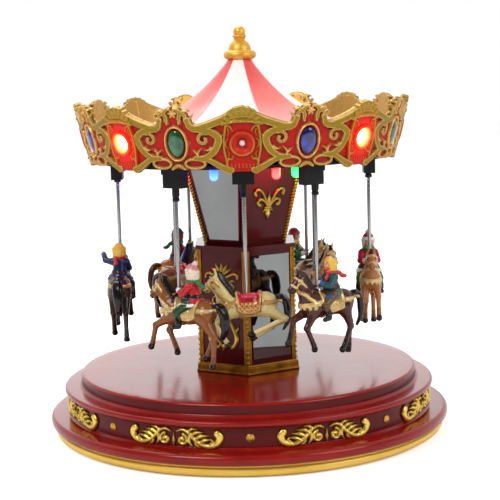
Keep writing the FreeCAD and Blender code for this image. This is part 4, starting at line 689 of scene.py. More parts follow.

# Tent: eight gores that sag a little between their seams, in a sheet with some thickness.
tentSetup = {"rimR": 93.1, "rimZ": 184.0, "topR": 7.5, "height": 46.6, "sag": 0.9, "steps": 320, "thick": 1.2,
             "shares": ((0, 1), (0.053, 0.884), (0.135, 0.727), (0.233, 0.568), (0.378, 0.375),
                        (0.588, 0.182), (0.8, 0.07), (1, 0))}


def smoothLine(stops, parts=10):  # Catmull-Rom line through the stops
    stops = np.asarray(stops, float)
    ends = np.concatenate([[2 * stops[0] - stops[1]], stops, [2 * stops[-1] - stops[-2]]])
    line = []
    for a, b, c, d in zip(ends, ends[1:], ends[2:], ends[3:]):
        for t in np.arange(parts) / parts:
            line.append(0.5 * (2 * b + (c - a) * t + (2 * a - 5 * b + 4 * c - d) * t * t
                               + (3 * b - a - 3 * c + d) * t ** 3))
    line.append(stops[-1])
    return np.array(line)


def makeTent(s):
    span = s["rimR"] - s["topR"]
    stops = [(s["topR"] + span * out, s["rimZ"] + s["height"] * rise) for out, rise in s["shares"]]
    skin = smoothLine(stops, 8)[::-1]
    angles = np.arange(s["steps"]) * 2 * math.pi / s["steps"]
    # 1 on a seam, 0 mid-gore
    gore = 1 - np.abs(np.cos(tentPaint["pairs"] * (angles + tentPaint["turn"]))) ** 0.4
    rows = []
    for drop, line in ((0.0, skin), (s["thick"], skin[::-1])):
        for r, z in line:
            share = (r - s["topR"]) / span
            dip = s["sag"] * math.sin(math.pi * min(1, share * 1.02)) * (1 - gore)
            rows.append(np.c_[r * np.sin(angles), -r * np.cos(angles), z - drop - dip])
    points, faces = np.concatenate(rows), ringFaces(len(rows), s["steps"], closed=True)
    tent = makePiece("tent_canopy", points, faces, tentStripes, "carousel", ["tent_roof"])
    sharpEdges(tent, 50)


makeTent(tentSetup)


def arcLine(centre, radius, start, end, parts=14):  # arc in the section plane, angles from +r towards +z
    turn = np.radians(np.linspace(start, end, parts))
    return np.c_[centre[0] + radius * np.cos(turn), centre[1] + radius * np.sin(turn)]


finialSetup = {"base": 230.6, "rimR": 7.3, "rimTube": 2.7, "dome": 7.0, "neck": 3.2, "collar": 4.3,
               "collarTube": 0.65, "ball": 3.7, "top": 251.0, "steps": 96}


def makeFinial(s):
    base, top, ball, tube = s["base"], s["top"], s["ball"], s["collarTube"]
    ballLow = top - ball - math.sqrt(ball ** 2 - s["neck"] ** 2)
    domeLow = base + 2 * s["rimTube"]
    domeHigh = domeLow + math.sqrt(s["dome"] ** 2 - s["neck"] ** 2)
    lean = math.degrees(math.asin((domeHigh - domeLow) / s["dome"]))
    tip = math.degrees(math.asin((ballLow - (top - ball)) / ball))
    path = [np.array([(0.01, base)]), arcLine((s["rimR"], base + s["rimTube"]), s["rimTube"], -90, 78),
            np.array([(s["dome"] + 0.25, domeLow - 0.1)]), arcLine((0, domeLow), s["dome"], 2, lean, 20),
            arcLine((s["collar"] - tube, ballLow - tube), tube, -85, 85, 9),
            arcLine((0, top - ball), ball, tip, 89.9, 20)]
    path = np.concatenate(path)
    points, faces = lathe(path, s["steps"])
    sharpEdges(makePiece("finial_gilt", points, faces, giltTurned, "carousel", ["finial"]), 60)


makeFinial(finialSetup)
print("tent and finial made")

outerBearings = ((-150, 150), (-90, 90), (-30, -90), (30, -30), (90, 30), (150, 210))
innerBearings = ((0, -90), (120, 30), (240, 150))
poleSetup = {"outer": 78.4, "inner": 53.4, "throw": 3.0, "crankZ": 178.78, "drop": 25.1, "seat": 59.0,
             "deep": 8.0, "rodR": 1.1, "hangerR": 2.2, "eye": (1.05, 2.2), "eyeHalf": 1.3, "eyeSteps": 24,
             "web": ((-5.95, 1.7), (-1.9, 1.2))}
horsePlaces = [(poleSetup["outer"], b, p) for b, p in outerBearings]
horsePlaces += [(poleSetup["inner"], b, p) for b, p in innerBearings]


def poleAxis(index):  # where a pole's crank pin is, and the frame at its bearing
    circle, bearing, phase = horsePlaces[index]
    turn = bearingFrame(bearing)
    swing = poleSetup["throw"] * math.cos(math.radians(phase))
    lift = poleSetup["throw"] * math.sin(math.radians(phase))
    spot = turn @ np.array((circle, swing, poleSetup["crankZ"] + lift))
    return spot, turn


def makePoles(s):
    for index in range(9):
        spot, turn = poleAxis(index)
        low = spot[2] - s["drop"]
        name = "pole_%d" % (index + 1)
        body = "horse_%d" % (index + 1)
        section = [(0.01, low - s["seat"] - s["deep"], 0), (s["rodR"], low - s["seat"] - s["deep"], 0.2),
                   (s["rodR"], low + 5.5, 0.2), (0.01, low + 5.5, 0)]
        points, faces = lathe(roundedPath(section, steps=3), 24)
        points[:, :2] += spot[:2]
        sharpEdges(makePiece(name + "_rod", points, faces, rodSteel, body, [name]), 40)
        shoulder = spot[2] - 5.9
        wide = s["hangerR"]
        section = [(s["rodR"] + 0.05, low, 0), (wide - 0.1, low, 0.35), (wide, low + 1.6, 0.2),
                   (wide - 0.35, low + 2.0, 0.15), (wide - 0.35, low + 2.8, 0.15), (wide, low + 3.2, 0.2),
                   (wide, shoulder, 0.3), (0.01, shoulder, 0)]
        hanger = lathe(roundedPath(section, steps=3), 28)
        hanger[0][:, :2] += spot[:2]
        n = s["eyeSteps"]
        ring = arcLine((0, 0), 1.0, 0, 360, n + 1)[:-1]
        eye = []  # flat eye on the crank pin
        for across in (-s["eyeHalf"], s["eyeHalf"]):
            for reach in s["eye"]:
                for y, z in ring * reach:
                    eye.append(spot + turn @ np.array((across, y, z)))
        strip = []
        for j in range(n):
            k = (j + 1) % n
            strip += [(j, k, n + k, n + j), (2 * n + j, 3 * n + j, 3 * n + k, 2 * n + k),
                      (n + j, n + k, 3 * n + k, 3 * n + j), (j, 2 * n + j, 2 * n + k, k)]
        web = []  # from the eye down to the shoulder
        for z, y in s["web"]:
            for across, side in ((-1, -1), (1, -1), (1, 1), (-1, 1)):
                web.append(spot + turn @ np.array((across * s["eyeHalf"], side * y, z)))
        webFaces = [(3, 2, 1, 0), (4, 5, 6, 7), (0, 1, 5, 4), (1, 2, 6, 5), (2, 3, 7, 6), (3, 0, 4, 7)]
        points, faces = joined([hanger, (np.array(eye), strip), (np.array(web), webFaces)])
        sharpEdges(makePiece(name + "_hanger", points, faces, blackAbs, body), 40)


makePoles(poleSetup)
print("poles made")


def stroke(stops, widths, parts=8):  # smooth line through the stops with a half width along it
    line = smoothLine(stops, parts)
    return line, np.interp(np.linspace(0, 1, len(line)), np.linspace(0, 1, len(widths)), widths)


def curl(centre, radii, start, sweep, widths, parts=30):  # spiral scroll
    share = np.linspace(0, 1, parts)
    reach = radii[0] + (radii[1] - radii[0]) * share ** 0.8
    turn = np.radians(start + sweep * share)
    line = np.c_[centre[0] + reach * np.cos(turn), centre[1] + reach * np.sin(turn)]
    return line, np.interp(share, np.linspace(0, 1, len(widths)), widths)


def ovalRing(centre, radii, width, parts=48):
    turn = np.linspace(0, 2 * math.pi, parts)
    line = np.c_[centre[0] + radii[0] * np.cos(turn), centre[1] + radii[1] * np.sin(turn)]
    return line, np.full(parts, width)


def bothSides(strokes):  # the same strokes left and right
    return strokes + [(line * (-1, 1), width) for line, width in strokes]


def strokeField(us, vs, strokes, margin=4.0):  # distance outside the strokes, negative inside
    best = np.full((len(us), len(vs)), margin)
    for line, widths in strokes:
        for a, b, ra, rb in zip(line[:-1], line[1:], widths[:-1], widths[1:]):
            reach = max(ra, rb) + margin
            i0, i1 = np.searchsorted(us, (min(a[0], b[0]) - reach, max(a[0], b[0]) + reach))
            j0, j1 = np.searchsorted(vs, (min(a[1], b[1]) - reach, max(a[1], b[1]) + reach))
            if i0 == i1 or j0 == j1:
                continue
            du = us[i0:i1, None] - a[0]
            dv = vs[None, j0:j1] - a[1]
            bu, bv = b - a
            t = np.clip((du * bu + dv * bv) / (bu * bu + bv * bv + 1e-9), 0, 1)
            gap = np.hypot(du - t * bu, dv - t * bv) - (ra + (rb - ra) * t)
            np.minimum(best[i0:i1, j0:j1], gap, out=best[i0:i1, j0:j1])
    return best


def polygonField(us, vs, corners):
    corners = np.asarray(corners, float)
    best = np.full((len(us), len(vs)), 99.0)
    inside = np.zeros((len(us), len(vs)), bool)
    gridU = us[:, None]
    gridV = vs[None, :]
    for a, b in zip(corners, np.roll(corners, -1, axis=0)):
        bu, bv = b - a
        t = np.clip(((gridU - a[0]) * bu + (gridV - a[1]) * bv) / (bu * bu + bv * bv + 1e-9), 0, 1)
        best = np.minimum(best, np.hypot(gridU - a[0] - t * bu, gridV - a[1] - t * bv))
        if a[1] != b[1]:
            crosses = (a[1] > gridV) != (b[1] > gridV)
            inside ^= crosses & (gridU < a[0] + (gridV - a[1]) * bu / bv)
    return np.where(inside, -best, best)


def ease(values):
    values = np.clip(values, 0, 1)
    return values * values * (3 - 2 * values)


# carved plate from an outline and a height map
def reliefSkin(us, vs, outline, height, back, voxel, adaptivity):
    ds = np.arange(back - 3 * voxel, height.max() + 3 * voxel, voxel)
    field = np.maximum(outline[:, :, None], ds[None, None, :] - height[:, :, None])
    field = np.maximum(field, back - ds[None, None, :])
    points, faces = levelSet(field, (us[0], vs[0], ds[0]), voxel, adaptivity)
    return points, outwardFaces(points, faces)


def sampled(values, us, vs, points):  # map value under each point of a skin
    step = us[1] - us[0]
    fi = np.clip((points[:, 0] - us[0]) / step, 0, len(us) - 1.001)
    fj = np.clip((points[:, 1] - vs[0]) / step, 0, len(vs) - 1.001)
    i, j = fi.astype(int), fj.astype(int)
    fi, fj = fi - i, fj - j
    return (values[i, j] * (1 - fi) * (1 - fj) + values[i + 1, j] * fi * (1 - fj)
            + values[i, j + 1] * (1 - fi) * fj + values[i + 1, j + 1] * fi * fj)


boardSetup = {"lowR": 92.5, "flare": 9.2, "height": 37.0, "lowZ": 169.5, "gemV": 16.0, "midR": 96.5,
              "voxel": 0.36, "thick": 2.3, "red": "#c3160c", "redLow": "#a8110a", "gold": "#937a22",
              "goldBright": "#e2ae66", "gilded": "#b48f38", "lampHole": 5.0, "adaptivity": 0.12, "bay": 45.0}


def onBoard(points, bearing, s=boardSetup):  # flat (across, up from the stone, out) to the flared ring
    tilt = math.atan2(s["flare"], s["height"])
    v = points[:, 1] + s["gemV"]
    turn = math.radians(bearing) + points[:, 0] / s["midR"]
    reach = s["lowR"] + s["flare"] * v / s["height"] + points[:, 2] * math.cos(tilt)
    level = s["lowZ"] + v - points[:, 2] * math.sin(tilt)
    return np.c_[reach * np.sin(turn), -reach * np.cos(turn), level]


def boardPaintings(gold, rim, cavity, s, ridge):  # colour, metal share, and wash with painted shade, for a painted board skin
    mix = gold[:, None]
    red = rgb(s["red"]) * 0.5 + rgb(s["redLow"]) * 0.5
    paint = red * (1 - mix) + twoTone(s["gold"], ridge, rim) * mix
    return {"paint": paint, "gilt": gold, "cavity": np.clip(cavity, 0, 1)}


def makeBoards(s):
    seam = math.radians(s["bay"] / 2) * s["midR"]  # two boards meet there, at a lamp
    half = seam + 0.3
    us = np.arange(-half, half + s["voxel"], s["voxel"])
    vs = np.arange(-18.2, 22.4, s["voxel"])
    ground = [(0, 14.5), (-6, 14), (-9.3, 9.2), (-12, 7.6), (-18, 9.0), (-27, 12.6), (-39, 17), (-39, -15.4),
              (-32, -15.4), (-25.5, -12), (-20.5, -9.2), (-16.8, -9.4), (-14.6, -12.6), (-6, -14.4),
              (0, -14.7)]
    ground = ground + [(-u, v) for u, v in reversed(ground[1:-1])]
    straps = bothSides([
        stroke([(-10.2, 9.0), (-15, 8.0), (-20.5, 6.9), (-24.8, 3.6), (-24.0, -1.0), (-21, -5.2),
                (-16.5, -8.0), (-11, -8.2)], (1.8, 2.1, 2.4, 2.1, 1.7)),
        stroke([(-24.2, 4.2), (-26.2, 4.3), (-28.0, 5.0)], (1.6, 0.9, 0.2)),
        ovalRing((-10.4, -11.3), (5.9, 2.7), 0.95),
        stroke([(-14.0, -8.6), (-19, -9.4), (-25, -12.8), (-30.3, -15.2)], (1.4, 1.7, 2.0, 2.2)),
        stroke([(-30.3, -15.4), (-31.4, -15.0)], (2.2, 2.0)),
        stroke([(-8.2, 13.6), (-9.4, 10.0), (-13, 8.6), (-17.5, 9.8), (-22, 11.3), (-27.5, 13.5), (-33, 16.2),
                (-38.5, 16.8)], (1.7, 2.3, 2.2, 2.2, 2.0)),
        curl((-16.4, 2.4), (4.0, 1.2), 120, -330, (1.2, 1.1, 1.2)),
        stroke([(-12.6, -7.2), (-12.8, -4.6), (-14.8, -2.8)], (0.8, 0.8, 0.3)),
        stroke([(-12.6, -6.4), (-11.0, -4.4), (-9.6, -3.8)], (0.7, 0.7, 0.25)),
        stroke([(-20.4, -2.2), (-18.6, -3.6), (-16.4, -3.4)], (0.9, 0.8, 0.3)),
        stroke([(-4.0, -14.3), (-2.0, -13.0), (0.0, -12.2)], (1.0, 1.2, 1.0)),
        curl((-6.3, 15.2), (3.0, 0.7), -40, 300, (1.3, 1.2, 0.7)),
        stroke([(-3.6, 11.5), (-3.9, 14.6), (-4.6, 17.4), (-3.2, 19.2), (-1.0, 20.2)],
               (0.9, 1.3, 1.4, 1.2, 0.7)),
        stroke([(-5.0, 17.0), (-7.0, 18.4), (-9.2, 18.2)], (1.3, 1.0, 0.5)),
        stroke([(-7.2, 13.2), (-9.6, 14.4), (-11.2, 16.2)], (1.3, 0.9, 0.4))])
    bezel = [ovalRing((0, 0), (6.5, 9.5), 0.85)]
    rosette = [(np.array([(0, 17.2), (0, 17.3)]), np.array([1.7, 1.7]))]
    rosette += [stroke([(0, 17.2), (2.1 * math.cos(a), 17.2 + 2.1 * math.sin(a))], (0.9, 0.9), 2)
                for a in np.arange(6) * math.pi / 3]
    strapGap = strokeField(us, vs, straps)
    bezelGap = strokeField(us, vs, bezel)
    roseGap = strokeField(us, vs, rosette)
    crestFill = strokeField(us, vs, [stroke([(0, 10), (0, 18.4)], (3.6, 2.6), 2)])
    land = np.minimum(polygonField(us, vs, ground), crestFill)
    outline = np.minimum(np.minimum(land, strapGap), roseGap)
    lampGap = np.hypot(np.abs(us)[:, None] - seam, vs[None, :])
    outline = np.maximum(outline, s["lampHole"] - lampGap)  # the lamp bowl passes through
    crease = 0.5 * np.exp(-((-strapGap - 0.5) / 0.3) ** 2) * (strapGap < 0.2)
    strapHeight = 1.5 * ease(-strapGap / 0.55) + crease
    # tooling on the straps
    ripple = 0.10 * np.sin(us[:, None] * 4.1 + np.sin(vs[None, :] * 3.7)) * np.sin(vs[None, :] * 4.4)
    height = np.where(strapGap < 0, strapHeight + ripple * (strapGap < -0.8), 0)
    height = np.maximum(height, 2.0 * np.sqrt(np.clip(-bezelGap, 0, 1) / 0.85) * (bezelGap < 0))
    height = np.maximum(height, 1.9 * np.sqrt(np.clip(-roseGap, 0, 1.7) / 1.7) * (roseGap < 0))
    dish = (us[:, None] / 6.3) ** 2 + (vs[None, :] / 9.3) ** 2
    height = np.where(dish < 0.82, np.minimum(height, -0.5), height)
    points, faces = reliefSkin(us, vs, outline, height, -s["thick"], s["voxel"], s["adaptivity"])
    gold = ease(0.5 - np.minimum(np.minimum(strapGap, bezelGap), roseGap) / 0.4)
    # painted highlight: the crests of the straps and the raised bezel and rosette take the brighter gold
    top = ease(1.2 - np.abs(-strapGap - 0.45) / 0.45) + (bezelGap < 0) + (roseGap < 0)
    # painted shade with the dark wash: darker in the hollows of the relief
    hollow = np.clip((blurred(height, 4) - height) * 0.9, 0, 1)
    goldAt = sampled(gold, us, vs, points)
    rimAt = np.clip(sampled(top.astype(float), us, vs, points), 0, 1)
    edge = sampled(outline, us, vs, points) > -0.25
    behind = points[:, 2] < -1.0
    goldAt = np.where(behind | (edge & (points[:, 1] > 6)), 1.0, goldAt)
    rimAt = np.where(behind, 0.6, rimAt)
    look = boardPaintings(goldAt, rimAt, sampled(hollow, us, vs, points) * ~behind, s, s["goldBright"])
    for index in range(8):
        skin = onBoard(points, s["bay"] * (index + 0.5))
        nodes = ["rounding_boards"] if index == 0 else ()
        makePiece("canopy_board_%d" % (index + 1), skin, faces, boardPaint, "carousel", nodes,
                  attributes=look)
    print("canopy boards carved:", len(faces), "faces each")


makeBoards(boardSetup)

cartoucheSetup = {"voxel": 0.27, "halfWidth": 9.4, "bulge": 1.5, "low": -15.4, "top": 12.4, "rim": 6.3,
                  "tube": 0.95, "shell": (10.9, 9.3), "ribs": 9, "back": -2.35, "lit": (45, 315, 135, 225),
                  "adaptivity": 0.12}


def makeCartouches(s):
    us = np.arange(-12.6, 12.7, s["voxel"])
    vs = np.arange(-17.2, 22.2, s["voxel"])
    gridU, gridV = us[:, None], vs[None, :]
    barrel = s["halfWidth"] + s["bulge"] * np.cos(np.clip((gridV + 0.5) / 13.0, -1, 1) * math.pi / 2) ** 2
    foot = s["low"] - 0.9 * (1 - (gridU / 10.0) ** 2)
    block = np.maximum(np.abs(gridU) - barrel, np.maximum(gridV - s["top"], foot - gridV))
    centre = np.hypot(gridU, gridV)
    turn = np.arctan2(gridV - 9.5, gridU)
    fan = np.hypot(gridU / s["shell"][0], (gridV - s["top"] + 0.4) / s["shell"][1])
    scallop = np.abs(np.sin(turn * s["ribs"]))
    shell = (fan - 0.95 + 0.07 * (1 - scallop)) * 8.0
    shell = np.where(gridV > s["top"] - 2.0, shell, 6.0)
    height = np.full(block.shape, 0.9)
    edge = 1 - ease((np.abs(barrel - np.abs(gridU) - 0.7) - 0.45) / 0.4)
    edge = edge * (np.abs(gridV + 0.6) < 12.4)
    leaves = strokeField(us, vs, bothSides([
        stroke([(5.0, 6.9), (6.5, 9.6), (8.2, 10.1), (9.3, 7.9), (9.7, 4.6)], (0.55, 0.95, 0.5)),
        stroke([(7.7, 8.4), (7.3, 6.4), (8.0, 4.6)], (0.6, 0.4)),
        stroke([(7.6, 2.5), (8.9, 1.6), (9.2, 0.0), (8.8, -1.7), (7.5, -2.5)], (0.4, 0.65, 0.4)),
        stroke([(5.0, -7.0), (6.3, -8.9), (7.6, -8.5), (8.8, -9.6), (9.3, -7.6), (9.7, -4.4)],
               (0.55, 0.9, 0.5)),
        stroke([(7.8, -7.0), (7.4, -5.6), (8.1, -4.2)], (0.55, 0.4))]), 2.0)
    carved = np.sqrt(np.clip(-leaves / 0.6, 0, 1))
    height = height + np.maximum(edge * 0.9, carved)
    flutes = (gridV < -11.4) & (gridV > -14.2) & (np.abs(gridU) < 8.2)
    height = height + flutes * (0.35 + 0.35 * np.cos(gridU * 2 * math.pi / 2.1))
    rimGap = np.abs(centre - s["rim"])
    height = np.where(centre < s["rim"], -1.7 + 3.9 * (centre / s["rim"]) ** 1.7, height)
    ring = 1.7 + np.sqrt(np.clip(s["tube"] ** 2 - rimGap ** 2, 0, 1))
    height = np.maximum(height, np.where(rimGap < s["tube"], ring, -9))
    ribs = 1.0 + 1.1 * ease(fan / 0.9) * (0.35 + 0.65 * scallop)
    height = np.where(gridV > s["top"] - 0.6, ribs, height)
    brow = stroke([(-10.6, 11.2), (-5.5, 12.4), (0, 12.8), (5.5, 12.4), (10.6, 11.2)], (1.0, 1.0))
    arch = strokeField(us, vs, [brow])
    zigzag = [(-9.6 + 2.4 * i, 11.0 if i % 2 else 12.6) for i in range(9)]
    braid = strokeField(us, vs, [(np.array(zigzag), np.full(9, 0.32))])
    bow = 1.6 + 0.7 * np.sqrt(np.clip(-arch, 0, 1)) + (braid < 0) * 0.4
    height = np.maximum(height, np.where(arch < 0, bow, -9))
    outline = np.minimum(np.minimum(block, shell), arch)
    points, faces = reliefSkin(us, vs, outline, height, s["back"], s["voxel"], s["adaptivity"])
    brushed = np.clip(np.maximum(edge * 0.9, carved * 0.85), 0, 1) + flutes * (height > 1.35) * 0.35
    ringTop = np.clip(1 - rimGap / s["tube"], 0, 1) ** 0.5 * np.clip(0.5 - gridV / 14, 0.15, 0.8)
    gold = np.where(rimGap < s["tube"], ringTop, brushed) + (gridV > s["top"] - 0.4) + (arch < 0.1)
    gold = np.clip(gold, 0, 1)
    # painted shade with the dark wash: darker in the hollows outside the bowl
    hollow = np.clip((blurred(height, 4) - height) * 0.8, 0, 0.9) * (centre > s["rim"])
    behind = points[:, 2] < -2.0
    goldAt = np.where(behind, 1.0, sampled(gold, us, vs, points))
    # painted highlight: the higher the relief, the lighter the gold
    rimAt = np.clip(sampled((height - 1.0) / 1.6, us, vs, points), 0, 1)
    look = boardPaintings(goldAt, rimAt, sampled(hollow, us, vs, points) * ~behind, boardSetup,
                          boardSetup["gilded"])
    backGilt = 0.4 * rgb(boardSetup["gold"]) + 0.6 * rgb(boardSetup["goldBright"])
    look["paint"][behind] = backGilt  # like the back of the boards
    reach = np.hypot(points[:, 0], points[:, 1])
    bowl = np.clip(1 - reach / s["rim"], 0, 1)
    for index in range(8):
        bearing = boardSetup["bay"] * index
        here = {key: value.copy() for key, value in look.items()}
        lit = bearing in s["lit"]
        # painted light: a lit lamp's bowl is painted a brighter red than an unlit one
        bright = rgb("#ff2214" if lit else "#c2301f")
        inBowl = (reach < s["rim"] - 0.4) & ~behind
        here["paint"][inBowl] = bright
        here["glow"] = np.zeros(len(points))
        if lit:  # the bowl fills with light and spills onto the red round it
            heat = np.clip(bowl * 1.9 - 0.08, 0, 1)[:, None]
            amber, white = rgb("#ffc46a"), rgb("#fff0d2")
            warm, hot = np.clip(2 * heat, 0, 1), np.clip(2 * heat - 1, 0, 1)
            flare = bright + (amber - bright) * warm + (white - amber) * hot
            spill = np.exp(-np.clip(reach - s["rim"], 0, None) / 4.5) * (points[:, 2] > -1.9)
            blush = here["paint"] * (1 - 0.75 * spill[:, None]) + bright * 0.75 * spill[:, None]
            here["paint"] = np.where(inBowl[:, None], flare, blush)
            here["glow"] = np.where(inBowl, 0.9 + 1.5 * heat[:, 0], 0.55 * spill)
        makePiece("lamp_cartouche_%d" % (index + 1), onBoard(points + (0, 0, 0.15), bearing), faces,
                  boardPaint, "carousel", attributes=here)
    print("lamp cartouches carved:", len(faces), "faces each")


makeCartouches(cartoucheSetup)


def domeSkin(halfWidth, halfHeight, rows, segments):  # oval dome, flat below
    points = []
    for share, rise in rows:
        turn = np.arange(segments) * 2 * math.pi / segments
        points.append(np.c_[halfWidth * share * np.cos(turn), halfHeight * share * np.sin(turn),
                            np.full(segments, rise)])
    faces = ringFaces(len(rows), segments)
    faces.append(tuple(range((len(rows) - 1) * segments, len(rows) * segments)))
    faces.append(tuple(reversed(range(segments))))
    return np.concatenate(points), faces


stoneSetup = {"half": (4.9, 7.7), "facets": 40,
              "rows": ((1.0, -0.7), (1.0, 0.3), (0.97, 0.75), (0.9, 1.2), (0.78, 1.65), (0.6, 2.0),
                       (0.36, 2.25), (0.12, 2.35)),
              "green": (67.5, 157.5, 247.5, 337.5), "blue": (22.5, 112.5, 202.5, 292.5)}


def makeStones(s):
    skin, rows = domeSkin(*s["half"], s["rows"], s["facets"])
    for name, material, slot in (("green", emerald, "emerald"), ("blue", sapphire, "sapphire")):
        parts = [(onBoard(skin, bearing), rows) for bearing in s[name]]
        points, faces = joined(parts)
        makePiece("stones_" + name, points, faces, material, "carousel", ["gems_" + name])


makeStones(stoneSetup)

lampSetup = {"radius": 2.3, "sink": -1.5, "length": 2.2, "unlit": 0.75, "stringR": 46.5, "wireR": 0.5,
             "stringZ": 169.2, "lensTop": 168.68, "lens": 6.5, "lensR": 2.5,
             "hung": ((25, "red"), (43, "green"), (92, "blue"), (150, "red"), (205, "green"), (268, "blue"),
                      (300, "red"), (338, "blue"))}


def bulletRows(radius, straight, low, flange):  # lamp lens: flange, straight body and dome
    rows = [(flange, low), (flange, low + 0.5), (radius, low + 0.62), (radius, low + straight)]
    rows += [(radius * math.cos(a), low + straight + radius * math.sin(a))
             for a in np.radians((15, 30, 45, 60, 75, 88))]
    return rows


def makeLamps(s):
    rows = bulletRows(s["radius"], s["length"], s["sink"], 0.9 * s["radius"])  # its flange is out of sight
    points, faces = lathe(np.array([(0.02, rows[0][1])] + rows), 24)
    hot = np.clip((points[:, 2] - rows[0][1]) / (rows[-1][1] - rows[0][1]), 0, 1)
    for name, lit, material in (("lit", True, lensLit), ("unlit", False, lensDark)):
        chosen = [b for b in range(0, 360, 45) if (b in cartoucheSetup["lit"]) == lit]
        size = 1.0 if lit else s["unlit"]
        skin, rowsOut = joined([(onBoard(points * size, b), faces) for b in chosen])
        nodes = ["crown_lamps"] if lit else ()
        makePiece("crown_lamps_" + name, skin, rowsOut, material, "carousel", nodes,
                  attributes={"hot": np.tile(hot ** 0.7, len(chosen))})
    rows = bulletRows(s["lensR"], s["lens"], 0, 1.12 * s["lensR"])
    points, faces = lathe(np.array([(0.02, 0)] + rows), 24)
    hot = np.clip(points[:, 2] / rows[-1][1], 0, 1)
    points = points * (1, -1, -1)  # lenses hang downwards
    shades = {"red": lensRed, "blue": lensBlue, "green": lensGreen}
    for colour, material in shades.items():
        parts = []
        for bearing, name in s["hung"]:
            if name == colour:
                parts.append((points + onBearing(s["stringR"], bearing, s["lensTop"]), faces))
        skin, rowsOut = joined(parts)
        nodes = ["lamp_string"] if colour == "red" else ()
        makePiece("string_lamps_" + colour, skin, rowsOut, material, "carousel", nodes,
                  attributes={"hot": np.tile(hot ** 0.8, len(parts))})
    wire = arcLine((s["stringR"], s["stringZ"]), s["wireR"], 0, 360, 11)[:-1]
    skin, faces = lathe(wire, 160, closed=True)
    makePiece("string_wire", skin, faces, acetal, "carousel")


makeLamps(lampSetup)
print("stones and lamps set")

scrollSetup = {"bandR": 112.45, "level": 20.9, "voxel": 0.32, "back": -0.4, "rise": 1.75, "bands": 8,
               "adaptivity": 0.2, "tones": ("#80590f", "#f6d468")}


def makeScrolls(s):
    us = np.arange(-31, 31.1, s["voxel"])
    vs = np.arange(-6.6, 6.7, s["voxel"])
    side = [stroke([(2.0, 3.4), (5.0, 4.6), (8.2, 3.2), (11.2, -0.4), (15.2, -3.5), (19.8, -4.7),
                    (23.8, -3.3), (25.6, 0.2), (24.2, 2.6)], (0.7, 1.0, 1.1, 1.2, 1.3, 1.4, 1.7, 2.1, 2.0)),
            curl((4.9, -1.6), (3.5, 0.7), 80, -400, (1.0, 1.1, 1.3)),
            stroke([(8.2, 3.2), (10.2, 5.0), (13.6, 5.3)], (1.0, 1.1, 0.3)),
            stroke([(10.0, 1.2), (12.8, 3.1), (17.0, 3.4)], (1.1, 1.2, 0.3)),
            stroke([(11.8, -1.0), (15.2, 1.0), (19.8, 1.5)], (1.1, 1.3, 0.3)),
            stroke([(14.4, -2.8), (17.6, -1.2), (21.6, -0.7)], (1.1, 1.2, 0.3)),
            stroke([(9.4, 1.6), (8.8, -2.4), (10.6, -5.0)], (1.0, 1.2, 0.4)),
            stroke([(12.2, -1.6), (12.6, -4.0), (15.0, -5.6)], (0.9, 1.0, 0.3)),
            stroke([(20.2, -3.6), (21.6, -1.8), (20.6, -0.4)], (1.0, 0.9, 0.4))]
    strokes = bothSides(side) + [stroke([(0, -4.6), (0, -2.0), (0, 2.4)], (0.5, 1.0, 0.3))]
    strokes = [(line * (1.06, 1.0), width * 1.2) for line, width in strokes]
    gap = strokeField(us, vs, strokes)
    height = s["rise"] * np.sqrt(np.clip(-gap, 0, 1.2) / 1.2) + 0.35
    height = height - 0.18 * np.abs(np.sin(gap * 5.0)) * (gap < -0.1)
    points, faces = reliefSkin(us, vs, gap, height, s["back"], s["voxel"], s["adaptivity"])
    raised = height * (gap < 0)
    # painted shade: darker in the recesses and along the edges of the scrolls
    hollow = np.clip((blurred(raised, 5) - raised) * 0.6 + 0.15 * (gap > -0.35), 0, 1)
    washAndShade = sampled(hollow, us, vs, points)
    # painted highlight: the higher the relief, the lighter the gold
    tone = twoTone(*s["tones"], np.clip((points[:, 2] - 0.7) / 1.2, 0, 1))
    parts = []
    for index in range(s["bands"]):
        turn = math.radians((index + 0.5) * 360 / s["bands"]) + points[:, 0] / s["bandR"]
        reach = s["bandR"] + points[:, 2]
        parts.append((np.c_[reach * np.sin(turn), -reach * np.cos(turn), s["level"] + points[:, 1]], faces))
    count = s["bands"] // 2
    for half in range(2):
        skin, rows = joined(parts[half * count:(half + 1) * count])
        nodes = ["base_ornaments"] if half == 0 else ()
        makePiece("base_scrolls_%d" % (half + 1), skin, rows, castGilt, "base", nodes,
                  attributes={"paint": np.tile(tone, (count, 1)), "gilt": np.ones(len(points) * count),
                              "cavity": np.tile(washAndShade, count)})
    print("base scrolls carved:", len(faces), "faces each")


makeScrolls(scrollSetup)


